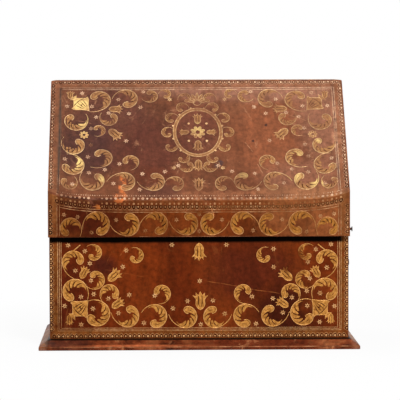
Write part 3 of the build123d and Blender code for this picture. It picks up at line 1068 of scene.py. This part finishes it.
def followFold(piece, deeper):       # down with the sagging fold, and deeper still away from the ends
    for vertex in piece.data.vertices:
        fromEnd, drop = foldDrop(vertex.co.x)
        vertex.co.z -= drop + deeper * mm * (1 - math.exp(-(fromEnd / mm / lipDesign["deepReach"]) ** 2))
    piece.data.update()
    return piece


def makeLipTooling(tools, line, wash, worn):
    d = lipDesign
    at = (0, lid["lipY"], 0)
    size = d["starSize"]
    ends = bothSides(stars(size, d["stars"])) + stars(size, d["middleStars"]) + rolls(d["rolls"])
    low, high = d["rulesFrom"], d["rulesTo"]
    sides = [([(s * x, low), (s * x, high)], False) for x in d["rules"] for s in (-1, 1)]
    flat = press(tools, bothSides(d["scrolls"]), line, wash) + press(tools, ends, worn, worn)
    panel = layOn(gather("lipTooling", flat + [rules(sides, worn)]), at, 90)
    fold, half = lid["fold"] / mm, d["foldHalf"]
    upper, lower = fold - d["pearlsDown"], fold - d["teethDown"]
    border = rollRow((-half, upper), (half, upper), teeth=False)
    border += rollRow((half, lower), (-half, lower), pearl=d["smallPearl"])
    lines = [([(-x, fold - down), (x, fold - down)], False) for x, down in d["fillets"]]
    rows = layOn(gather("foldRows", press(tools, offGap(border), worn, worn)), at, 90)
    fillets = layOn(rules(lines, worn, ruled["foldPitch"]), at, 90)
    return gather("lipTooling", [panel, followFold(rows, d["deeper"]), followFold(fillets, d["deeper"])])


medallion = {                        # oval wreath of small scrolls round a rosette, with a palmette over it
    "at": (0.0, 92.0), "rim": (24.5, 30.5), "band": 3.0, "rimWidth": 0.55,
    "wreath": (34.0, 40.0), "scrollSize": 6.6, "scrolls": (-62, -30, 0, 30, 60),     # in degrees
    "pearls": (28.5, 34.5), "pearlTurn": 15, "pearlSize": 1.3,
    "side": [
        ("longScroll", -13.0, -47.0, 7.4, 150), ("shortScroll", -14.0, 48.0, -6.8, 200),
        ("star", -31.0, 46.0, 3.0, 0), ("star", -27.0, -49.0, 3.0, 0),
    ],
    "middle": [
        ("fan", 0, 42.0, 13.5, 0), ("tulip", 0, -45.5, 7.6, 180), ("rosette", 0, 0, 8.6, 22),
        ("pearl", -10, 12, 1.5, 0), ("pearl", 10, 12, 1.5, 0),
        ("pearl", -10, -12, 1.5, 0), ("pearl", 10, -12, 1.5, 0),
        ("tulip", 0, 18.6, 7.2, 0), ("tulip", 0, -18.6, 7.2, 180),
        ("tulip", -15.4, 0, 5.6, 90), ("tulip", 15.4, 0, 5.6, -90),
    ],
}


def makeMedallion(tools, line, wash):
    m = medallion
    x, y = m["at"]

    def oval(radii, turn):
        return radii[0] * math.cos(math.radians(turn)), radii[1] * math.sin(math.radians(turn))

    def moved(places):
        return [(name, x + across, y + up, *rest) for name, across, up, *rest in places]

    left = []
    for turn in m["scrolls"]:
        across, up = oval(m["wreath"], turn)
        left.append(("shortScroll", -across, up, m["scrollSize"] * (-1 if turn < 0 else 1), 40 - turn))
        across, up = oval(m["pearls"], turn + m["pearlTurn"])
        left.append(("pearl", -across, up, m["pearlSize"], 0))
    places = bothSides(moved(left + m["side"])) + moved(m["middle"])
    rims = []
    for grow in (0.0, m["band"]):
        ring = [oval([radius + grow for radius in m["rim"]], turn) for turn in range(0, 360, 20)]
        rims.append([((x + across) * mm, (y + up) * mm, 1) for across, up in ring])
    rim = drawn("rim", [(ring, True) for ring in rims], m["rimWidth"] * mm, 3)
    dress(rim, line)
    band = filled("band", rims, 3)
    band.data.transform(Matrix.Diagonal((1, 1, tool["height"], 1)))
    dress(band, wash)
    return press(tools, places, line, wash) + [rim, band]


def makeSlopeTooling(tools, line, wash, worn):
    d = slopeDesign
    places = bothSides(d["scrolls"] + d["flowers"], d["strayed"]) + d["middle"]
    border = bothSides(stars(d["starSize"], d["stars"])) + rolls(d["rolls"])
    half, low, fine = lipDesign["foldHalf"], d["pearlsUp"], d["finePearlsUp"]
    border += offGap(rollRow((-half, low), (half, low), pearl=d["pearl"], teeth=False))
    border += rollRow((-half, fine), (half, fine), d["finePitch"], d["finePearl"], False)
    foot = d["frameFoot"]
    frame = [([(-x, foot), (-x, top), (x, top), (x, foot)], False) for x, top in d["frame"]]
    piece = gather("slopeTooling", press(tools, places, line, wash) + makeMedallion(tools, line, wash)
                   + press(tools, border, worn, worn) + [rules(frame, worn, ruled["foldPitch"])])
    angle = math.degrees(math.atan2(lid["top"] - lid["fold"], lid["crestY"] - lid["lipY"]))
    layOn(piece, (0, lid["lipY"], lid["fold"]), angle)
    letFoldSag(piece)
    return piece


# The back, the ends and the top are plainer: the roll, two fillets, a few tools in each corner and a centre

plain = {
    "rollIn": 3.4, "fillets": (10.8, 13.2),      # in from the panel's edge
    "back": [(-164.6, 12.0), (164.6, 12.0), (164.6, 284.0), (-164.6, 284.0)],
    "top": [(-165.6, 9.5), (165.6, 9.5), (165.6, 99.0), (-165.6, 99.0)],
    "end": [(-99.0, 12.0), (99.0, 12.0), (99.0, 284.0), (11.3, 284.0), (-97.8, 167.2)],
    "backCorners": [(-154, 22), (154, 22), (-154, 274), (154, 274)],
    "endCorners": [(-88, 22), (88, 22), (88, 274)],
    "centre": {"rosette": 8.4, "tulip": 7.6, "tulipsOut": 19, "star": 3.2, "starsOut": 17},
    "backCentre": (0, 150, 1.3), "endCentre": (8, 140, 1.25), "topCentre": (0, 54, 0.95),    # place and size
    "corner": [
        ("shortScroll", 21.0, 34.5, 11.0, -35), ("shortScroll", 38.5, 20.0, -11.0, 123),
        ("tulip", 42.5, 42.0, 8.6, -48),
        ("star", 15.5, 18.0, 3.0, 10), ("star", 30.0, 56.0, 3.0, 20), ("star", 59.0, 27.0, 3.0, 0),
    ],
    "backFoot": [("longScroll", -18.0, 40.0, 12.0, 171), ("shortScroll", -50.0, 40.0, -11.5, 166)],
    "topRow": [
        ("shortScroll", -134.0, 44.0, 12.5, 20), ("longScroll", -98.0, 52.0, -12.5, 180),
        ("longScroll", -64.0, 56.0, 12.0, 180), ("shortScroll", -34.0, 52.0, -11.0, 180),
        ("star", -116.0, 74.0, 3.0, 0), ("star", -80.0, 32.0, 3.0, 0),
        ("star", -48.0, 76.0, 3.0, 0), ("star", -146.0, 66.0, 3.0, 0), ("star", -146.0, 30.0, 3.0, 0),
    ],
}


def insetOutline(corners, inset):                # the same outline, a little smaller
    smaller = []
    for number, at in enumerate(corners):
        before = Vector(at) - Vector(corners[number - 1])
        after = Vector(corners[(number + 1) % len(corners)]) - Vector(at)
        inward = [Vector((-way.y, way.x)).normalized() for way in (before, after)]
        bisector = (inward[0] + inward[1]).normalized()
        smaller.append(tuple(Vector(at) + bisector * inset / bisector.dot(inward[0])))
    return smaller


def cornerPlaces(corners):           # the corner's tools at each corner, turned to face the panel's middle
    places = []
    for x, y in corners:
        for name, across, up, size, angle in plain["corner"]:
            if x > 0:
                across, (size, angle) = -across, turnOver(name, size, angle)
            if y > 150:              # an upper corner
                up, (size, angle) = -up, turnOver(name, size, angle, 180)
            places.append((name, x + across, y + up, size, angle))
    return places


def centrePlaces(x, y, size=1.0):                # rosette with four tulips round it
    c = plain["centre"]
    places = [("rosette", x, y, c["rosette"] * size, 0)]
    for turn in (0, 90, 180, 270):
        across, up = polar(c["tulipsOut"] * size, 90 - turn)
        places.append(("tulip", x + across, y + up, c["tulip"] * size, -turn))
        across, up = polar(c["starsOut"] * size, turn + 45)
        places.append(("star", x + across, y + up, c["star"] * size, 0))
    return places


def makePlainTooling(name, tools, line, wash, corners, places):
    outline = insetOutline(corners, plain["rollIn"])
    border = rolls(zip(outline[-1:] + outline, outline))
    fillets = [(insetOutline(corners, inset), True) for inset in plain["fillets"]]
    marks = press(tools, places, line, wash) + press(tools, border, wash, wash)
    return gather(name, marks + [rules(fillets, wash)])


def makeBackTooling(tools, line, wash):
    places = cornerPlaces(plain["backCorners"]) + bothSides(plain["backFoot"])
    places += centrePlaces(*plain["backCentre"])
    piece = makePlainTooling("backTooling", tools, line, wash, plain["back"], places)
    return layOn(piece, (0, case["halfDepth"], 0), 90, 180)


def makeEndTooling(name, tools, line, wash, side):
    corners = plain["end"]
    places = cornerPlaces(plain["endCorners"]) + centrePlaces(*plain["endCentre"])
    if side < 0:                     # the slanted edge is at the front on both ends
        corners = [(-x, z) for x, z in reversed(corners)]
        places = bothSides(places)[len(places):]
    piece = makePlainTooling(name, tools, line, wash, corners, places)
    return layOn(piece, (side * case["halfWidth"], 0, 0), 90, side * 90)


def makeTopTooling(tools, line, wash):
    places = bothSides(plain["topRow"]) + centrePlaces(*plain["topCentre"])
    piece = makePlainTooling("topTooling", tools, line, wash, plain["top"], places)
    return layOn(piece, (0, 0, lid["top"]), 0)


# How each leather looks

lipLook = {
    "dark": (82, 32, 10), "middle": (102, 44, 14), "light": (122, 60, 24), "cloudScale": 12.0, "scuffs": 0.4,
    "scuffTone": (190, 120, 70), "relief": 0.32, "roughness": 0.5, "sheen": 0.09,
    "varnish": (1, 0.6, 0.34, 1), "border": (0.0, 1.0, 0.1556), "borderWidth": 0.0055,
    "borderTone": (138, 84, 44),
    "chips": [
        ((-0.086, -0.105, 0.166), (0.009, 0.03, 0.006), (190, 100, 50), 0.8),
        ((-0.1155, -0.105, 0.163), (0.008, 0.03, 0.010), (116, 66, 46), 0.9),
        ((-0.1112, -0.105, 0.1572), (0.0048, 0.03, 0.0042), (180, 98, 40), 0.9),
        ((0.010, -0.105, 0.162), (0.008, 0.03, 0.006), (166, 92, 56), 0.4),
    ],
    "scratches": [
        ((-0.132, 0.1605), (-0.100, 0.1560), 0.0005, 0.8), ((0.0114, 0.1598), (0.0169, 0.1475), 0.0008, 1.0),
        ((-0.100, 0.1560), (-0.070, 0.1560), 0.0004, 0.6),
    ],
    "stains": [
        # the next two darken the lip under the left of the fold: the leather's darker tone, and painted shade
        # where the sagging fold turns from the light
        ((-0.12, -0.105, 0.164), (0.06, 0.03, 0.010), (48, 18, 12), 1.0),
        ((-0.055, -0.105, 0.161), (0.10, 0.03, 0.009), (78, 34, 16), 0.75),
        ((-0.03, -0.105, 0.134), (0.13, 0.05, 0.014), (132, 64, 28), 0.5),
        ((-0.115, -0.105, 0.145), (0.075, 0.05, 0.045), (62, 14, 6), 0.8),
        ((-0.04, -0.105, 0.15), (0.08, 0.05, 0.05), (104, 44, 12), 0.6),
        ((0.02, -0.105, 0.14), (0.05, 0.05, 0.05), (112, 48, 16), 0.6),
        ((0.125, -0.105, 0.15), (0.09, 0.05, 0.06), (140, 79, 43), 0.85),
        ((0.0, -0.105, 0.168), (0.35, 0.05, 0.012), (132, 76, 42), 0.4),
    ],
}

slopeLook = {
    "dark": (98, 52, 32), "middle": (116, 66, 42), "light": (138, 84, 56), "cloudScale": 11.0, "scuffs": 0.6,
    "scuffTone": (196, 138, 100), "relief": 0.36, "roughness": 0.48, "sheen": 0.11,
    "varnish": (1, 0.8, 0.64, 1), "border": (0.0, 0.2868, 0.1560), "borderWidth": 0.0055,
    "borderTone": (142, 88, 58),
    "chips": [
        ((-0.084, -0.092, 0.179), (0.0055, 0.03, 0.017), (206, 112, 58), 1.0),
        ((-0.086, -0.1, 0.168), (0.010, 0.02, 0.006), (190, 106, 60), 0.8),
        ((0.157, -0.05, 0.235), (0.009, 0.08, 0.05), (206, 142, 106), 0.6),
        ((0.03, -0.1, 0.170), (0.07, 0.02, 0.006), (166, 104, 70), 0.5),
        ((0.0228, -0.074, 0.2015), (0.007, 0.02, 0.007), (74, 54, 54), 0.9),
        ((0.0768, -0.036, 0.2446), (0.0024, 0.02, 0.0024), (60, 36, 32), 0.9),
        ((0.0615, -0.051, 0.2272), (0.0022, 0.02, 0.0022), (60, 36, 32), 0.9),
    ],
    "scratches": [
        ((0.052, 0.226), (0.062, 0.214), 0.0006, 0.7), ((0.066, 0.203), (0.071, 0.192), 0.0007, 0.8),
        ((-0.148, 0.252), (-0.118, 0.246), 0.0004, 0.5), ((-0.030, 0.262), (0.022, 0.258), 0.0004, 0.4),
        ((0.084, 0.262), (0.150, 0.240), 0.0004, 0.5), ((-0.004, 0.1836), (0.013, 0.1816), 0.0006, 0.9),
        ((-0.006, 0.1802), (0.010, 0.1790), 0.0005, 0.8),
    ],
    "stains": [
        ((0.0, -0.046, 0.24), (0.034, 0.05, 0.04), (88, 44, 40), 0.55),
        ((-0.10, -0.03, 0.25), (0.07, 0.09, 0.09), (88, 48, 38), 0.8),
        ((-0.125, -0.06, 0.22), (0.05, 0.06, 0.06), (72, 40, 36), 0.85),
        ((0.075, -0.05, 0.235), (0.06, 0.07, 0.07), (142, 80, 50), 0.8),
        ((0.0, -0.03, 0.25), (0.05, 0.07, 0.07), (112, 62, 44), 0.6),
        ((-0.055, -0.06, 0.22), (0.06, 0.07, 0.06), (90, 44, 32), 0.85),
        ((0.145, -0.03, 0.25), (0.05, 0.09, 0.09), (152, 100, 76), 0.8),
        ((0.05, 0.0, 0.285), (0.14, 0.03, 0.03), (166, 116, 94), 0.6),
        ((-0.054, -0.0855, 0.185), (0.055, 0.035, 0.022), (92, 42, 24), 0.75),
        ((0.115, -0.085, 0.190), (0.065, 0.04, 0.028), (160, 104, 78), 0.6),
        ((0.125, -0.1, 0.172), (0.09, 0.04, 0.012), (176, 116, 76), 0.6),
        ((-0.1546, -0.045, 0.235), (0.0032, 0.14, 0.12), (76, 60, 52), 0.85),
        ((0.1546, -0.055, 0.224), (0.0030, 0.12, 0.10), (110, 84, 72), 0.7),
        ((-0.045, -0.1, 0.172), (0.040, 0.03, 0.014), (90, 50, 38), 0.8),
        ((0.087, -0.1, 0.172), (0.024, 0.03, 0.012), (122, 76, 52), 0.6),
    ],
}

frontLook = {
    "dark": (84, 28, 8), "middle": (106, 40, 12), "light": (124, 54, 18), "cloudScale": 8.0, "scuffs": 0.32,
    "scuffTone": (178, 104, 52), "relief": 0.3, "roughness": 0.5, "sheen": 0.08, "varnish": (1, 0.58, 0.3, 1),
    # black: from and to heights of the painted shadow under the lip
    "black": (0.1174, 0.1275), "border": (0.0208, 1.0, 0.1550), "borderWidth": 0.0052,
    "borderTone": (138, 82, 36),
    "scratches": [
        ((0.0070, 0.0752), (0.0900, 0.0600), 0.0005, 0.65), ((-0.089, 0.101), (-0.080, 0.113), 0.0008, 0.8),
        ((-0.104, 0.088), (-0.060, 0.080), 0.0004, 0.35),
    ],
    "stains": [
        ((0.055, -0.099, 0.085), (0.075, 0.05, 0.05), (82, 30, 16), 0.75),
        ((0.095, -0.099, 0.040), (0.065, 0.05, 0.050), (50, 14, 9), 0.85),
        ((-0.08, -0.099, 0.10), (0.06, 0.05, 0.05), (124, 50, 14), 0.6),
        ((-0.145, -0.099, 0.06), (0.04, 0.05, 0.08), (78, 24, 12), 0.55),
        ((-0.106, -0.099, 0.091), (0.026, 0.05, 0.018), (62, 22, 18), 0.8),
    ],
}

sideLook = {
    "dark": (88, 40, 22), "middle": (108, 54, 32), "light": (130, 72, 46), "cloudScale": 8.0, "scuffs": 0.45,
    "scuffTone": (176, 116, 78), "relief": 0.34, "roughness": 0.5, "sheen": 0.2, "varnish": (1, 0.7, 0.5, 1),
    "stains": [
        ((0.165, 0.02, 0.08), (0.06, 0.08, 0.08), (76, 30, 18), 0.7),
        ((-0.165, 0.03, 0.2), (0.06, 0.08, 0.08), (76, 30, 20), 0.7),
        ((0.05, 0.1, 0.12), (0.12, 0.05, 0.08), (82, 34, 20), 0.6),
        ((-0.05, 0.06, 0.295), (0.12, 0.06, 0.05), (132, 80, 58), 0.6),
    ],
}

plinthLook = {
    "dark": (54, 18, 8), "middle": (122, 56, 28), "light": (162, 98, 58), "cloudScale": 40.0,
    "streaks": (0.12, 1, 1), "scuffs": 0.9, "scuffTone": (200, 132, 86), "relief": 0.4, "roughness": 0.5,
    "sheen": 0.12, "varnish": (1, 0.62, 0.4, 1), "joint": 0.0021,
    "stains": [
        ((-0.14, -0.104, 0.008), (0.03, 0.03, 0.03), (84, 40, 30), 0.7),
        ((-0.05, -0.109, 0.0045), (0.12, 0.03, 0.0022), (196, 104, 62), 0.8),
        ((0.06, -0.105, 0.008), (0.12, 0.03, 0.03), (98, 36, 18), 0.6),
        # the next two pale the plinth's ends: painted reflection of the light on their bevels
        ((0.173, -0.02, 0.008), (0.012, 0.14, 0.03), (196, 160, 132), 0.55),
        ((-0.173, -0.03, 0.008), (0.010, 0.14, 0.03), (184, 148, 122), 0.5),
    ],
}

slitLook = dict(
    frontLook, dark=(62, 24, 10), middle=(78, 34, 14), light=(96, 46, 22), scratches=[], sheen=0.06,
    stains=[
        ((0.10, -0.02, 0.26), (0.16, 0.14, 0.14), (132, 84, 60), 0.95),
        ((-0.10, -0.02, 0.26), (0.10, 0.12, 0.12), (94, 52, 36), 0.9),
        ((0.08, -0.106, 0.160), (0.14, 0.04, 0.05), (124, 74, 40), 0.85),
    ],
)
slitLook.pop("border")

ridgeLook = {                        # the rounded fold and crest, dark with rubbed spots
    "dark": (84, 42, 26), "middle": (120, 64, 38), "light": (158, 96, 62), "cloudScale": 60.0, "scuffs": 0.7,
    "scuffTone": (206, 146, 104), "relief": 0.4, "roughness": 0.6, "sheen": 0.1, "varnish": (1, 0.8, 0.64, 1),
    "stains": [
        ((-0.125, -0.105, 0.165), (0.05, 0.05, 0.02), (62, 26, 18), 0.9),
        ((0.125, -0.105, 0.168), (0.09, 0.06, 0.03), (176, 116, 72), 0.7),
    ],
    "chips": [
        ((-0.1155, -0.104, 0.166), (0.008, 0.03, 0.008), (124, 74, 54), 0.9),
        ((-0.085, -0.1, 0.166), (0.008, 0.03, 0.02), (206, 116, 64), 1.0),
        ((0.04, -0.1, 0.166), (0.12, 0.03, 0.02), (180, 116, 78), 0.5),
    ],
}

wornLook = {                         # arrises where the leather is rubbed through to its tan
    "dark": (108, 56, 32), "middle": (146, 86, 52), "light": (190, 130, 90), "cloudScale": 46.0,
    "scuffs": 0.5, "scuffTone": (214, 158, 110), "relief": 0.4, "roughness": 0.62, "sheen": 0.15,
    "varnish": (1, 0.72, 0.52, 1), "stains": [((0, 0.05, 0.15), (0.3, 0.12, 0.3), (112, 60, 38), 0.5)],
}

giltFront = {
    "bright": (250, 190, 118), "deep": (202, 138, 64), "stainTone": (124, 70, 26), "gone": 0.30,
    "whole": 0.42, "metal": 0.3, "rubbed": [((0.1, -0.1, 0.1), (0.03, 0.05, 0.03), 0.2)],
}
washFront = dict(giltFront, bright=(222, 156, 78), deep=(144, 90, 36), metal=0.2)
rollFront = dict(giltFront, bright=(236, 184, 128), deep=(176, 122, 70), metal=0.2, gone=0.30, whole=0.48)
giltLip = dict(
    giltFront, bright=(224, 160, 100), deep=(168, 112, 58), gone=0.32, whole=0.52,
    rubbed=[((-0.147, -0.105, 0.136), (0.020, 0.05, 0.022), 0.08)],
)
washLip = dict(giltLip, bright=(194, 130, 60), deep=(132, 80, 30), metal=0.2)
rollLip = dict(giltLip, bright=(220, 168, 120), deep=(150, 98, 58), metal=0.2, gone=0.36, whole=0.56)
giltSlope = dict(
    giltFront, bright=(250, 208, 150), deep=(190, 138, 92), stainTone=(138, 90, 60), gone=0.34, whole=0.58,
    rubbed=[
        ((0.10, -0.02, 0.27), (0.07, 0.05, 0.05), 0.05), ((0.0, -0.02, 0.27), (0.08, 0.05, 0.05), 0.05),
        ((0.115, -0.07, 0.20), (0.06, 0.06, 0.05), -0.12), ((-0.14, -0.04, 0.24), (0.05, 0.09, 0.09), -0.12),
    ],
    # painted highlights on the slope's gold
    gleams=[
        ((-0.1300, -0.0162, 0.2697), (0.016, 0.02, 0.016)),
        ((-0.1270, -0.0455, 0.2383), (0.010, 0.012, 0.012)), ((-0.137, -0.073, 0.205), (0.014, 0.02, 0.014)),
        ((-0.126, -0.035, 0.250), (0.013, 0.02, 0.010)), ((0.0, -0.0428, 0.241), (0.012, 0.02, 0.012)),
        ((-0.106, -0.088, 0.192), (0.008, 0.01, 0.010)), ((0.104, -0.0844, 0.1895), (0.011, 0.02, 0.010)),
        ((0.131, -0.0928, 0.181), (0.011, 0.02, 0.010)), ((0.110, -0.067, 0.210), (0.011, 0.02, 0.009)),
        ((0.050, -0.084, 0.190), (0.008, 0.02, 0.008)), ((0.138, -0.05, 0.230), (0.009, 0.02, 0.009)),
    ],
)
washSlope = dict(giltSlope, bright=(198, 146, 88), deep=(136, 88, 56), metal=0.2, gone=0.38, whole=0.60)
rollSlope = dict(
    giltSlope, bright=(246, 206, 168), deep=(176, 124, 92), metal=0.2, gone=0.36, whole=0.54,
    rubbed=[((-0.1546, -0.045, 0.235), (0.006, 0.16, 0.14), 0.14)], gleams=[],
)
giltSide = dict(giltFront, bright=(226, 172, 104), deep=(176, 120, 62), gone=0.34, whole=0.54, rubbed=[])
washSide = dict(giltSide, bright=(190, 136, 72), deep=(146, 96, 46), metal=0.2)


carcaseLook = {
    "dark": (132, 92, 58), "middle": (166, 124, 82), "light": (190, 150, 106), "aged": (124, 84, 54),
    "rings": 60.0, "roughness": 0.66,
}

dividerLook = {
    "dark": (96, 58, 32), "middle": (128, 82, 48), "light": (152, 104, 66), "aged": (88, 50, 28),
    "rings": 85.0, "roughness": 0.5,
}

paperLook = {
    "ground": (150, 84, 66), "first": (176, 132, 96), "second": (110, 56, 50), "vein": (204, 178, 140),
    "foxed": (132, 84, 58), "swirlScale": 22.0,
    "combed": [(0.30, "ground"), (0.70, "second"), (0.43, "ground"), (0.455, "vein"), (0.475, "first"),
               (0.56, "ground"), (0.585, "vein")],
}

ironLook = {"dark": (34, 31, 29), "light": (64, 59, 54), "rust": (92, 52, 32)}


def pair(front, back):               # names of a left and a right node
    return [f"{front}_{side}{back}" for side in ("left", "right")]


bareNodes = [   # what the model brings as it is: finish and the nodes that take it
    ("carcaseX", ["bottom_board", "front_board", "back_board", "plinth_front", "plinth_back", "lid_top_board",
                  "lid_slope_board", "lid_lip_board"]),
    ("carcaseY", ["left_side_board", "right_side_board", *pair("plinth", "")]),
    ("dividerX", ["divider_front", "divider_middle", "divider_rear"]),
    ("dividerY", pair("cross_divider", "")),
    ("lining", ["floor_lining", "front_lining", "back_lining", "left_lining", "right_lining", "lid_lining"]),
    ("iron", [*pair("hinge", "_case_leaf"), *pair("hinge", "_pin"), *pair("hinge", "_lid_leaf"),
              "case_hinge_screws", "lid_hinge_screws", "catch_stud", "hook_washer", "hook_rivet", "side_hook"]),
]


def finishNodes():
    finishes = {
        "carcaseX": makeWood("carcaseWoodX", carcaseLook, "x"),
        "carcaseY": makeWood("carcaseWoodY", carcaseLook, "y"),
        "dividerX": makeWood("dividerWoodX", dividerLook, "x"),
        "dividerY": makeWood("dividerWoodY", dividerLook, "y"),
        "lining": makePaper("liningPaper", paperLook), "iron": makeIron("blackIron", ironLook),
    }
    for finish, names in bareNodes:
        for name in names:
            if not nodes[name].material_slots:
                nodes[name].data.materials.append(None)
            for holder in nodes[name].material_slots:
                holder.material = finishes[finish]


makeRoom()
print("room ready")
finishNodes()
print("bare nodes finished")

sideLeather = makeLeather("sideLeather", sideLook)
wornLeather = makeLeather("wornLeather", wornLook)
caseLeather = makeCaseLeather(sideLeather, wornLeather, makeLeather("frontLeather", frontLook))
lidLeather = makeLidLeather(
    makeLeather("slopeLeather", slopeLook), wornLeather, makeLeather("lipLeather", lipLook), sideLeather,
    makeLeather("ridgeLeather", ridgeLook))
plinthLeather = makePlinthLeather(makeLeather("plinthLeather", plinthLook), wornLeather)
dressFaces(caseLeather, 2, lambda at, way: way.y < -0.9)
dressFaces(lidLeather, 2, lambda at, way: way.y < -0.95)
dressFaces(lidLeather, 3, lambda at, way: way.z > 0.95 or abs(way.x) > 0.9 or way.z < -0.5 or way.y > 0.5)
print("leathers laid")

leafLine, leafWash = makeGilt("frontGilt", frontLook, giltFront), makeGilt("frontWash", frontLook, washFront)
slitTone = makeLeather("slitLeather", slitLook)
tools = {
    "longScroll": scrollTool("longScroll", tool["longStem"]),
    "shortScroll": scrollTool("shortScroll", tool["shortStem"]),
    "star": starTool(), "pearl": pearlTool(), "tulip": tulipTool(), "vase": vaseTool(),
    "rosette": rosetteTool(), "tooth": toothTool(), "fan": fanTool(),
}
print("tools cut")
frontTooling = makeFrontTooling(tools, leafLine, leafWash, makeGilt("frontRoll", frontLook, rollFront))
lipTooling = makeLipTooling(
    tools, makeGilt("lipGilt", lipLook, giltLip), makeGilt("lipWash", lipLook, washLip),
    makeGilt("lipRoll", lipLook, rollLip))
slopeTooling = makeSlopeTooling(
    tools, makeGilt("slopeGilt", slopeLook, giltSlope), makeGilt("slopeWash", slopeLook, washSlope),
    makeGilt("slopeRoll", slopeLook, rollSlope))
sideLine, sideWash = makeGilt("sideGilt", sideLook, giltSide), makeGilt("sideWash", sideLook, washSide)
backTooling = makeBackTooling(tools, sideLine, sideWash)
leftTooling = makeEndTooling("leftTooling", tools, sideLine, sideWash, -1)
rightTooling = makeEndTooling("rightTooling", tools, sideLine, sideWash, 1)
topTooling = makeTopTooling(tools, sideLine, sideWash)
for cut in tools.values():
    bpy.data.objects.remove(cut, do_unlink=True)
print("panels tooled")

for piece, body, replaced in [
    (caseLeather, "case", ["front_leather", "back_leather", "left_side_leather", "right_side_leather"]),
    (lidLeather, "lid", ["lid_leather"]),
    (plinthLeather, "case", ["plinth_leather"]),
    (frontTooling, "case", []),
    (lipTooling, "lid", []),
    (slopeTooling, "lid", []),
    (backTooling, "case", []),
    (leftTooling, "case", []),
    (rightTooling, "case", []),
    (topTooling, "lid", []),
]:
    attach(piece, body)
    if replaced:
        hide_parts(*replaced)
makeFloor()
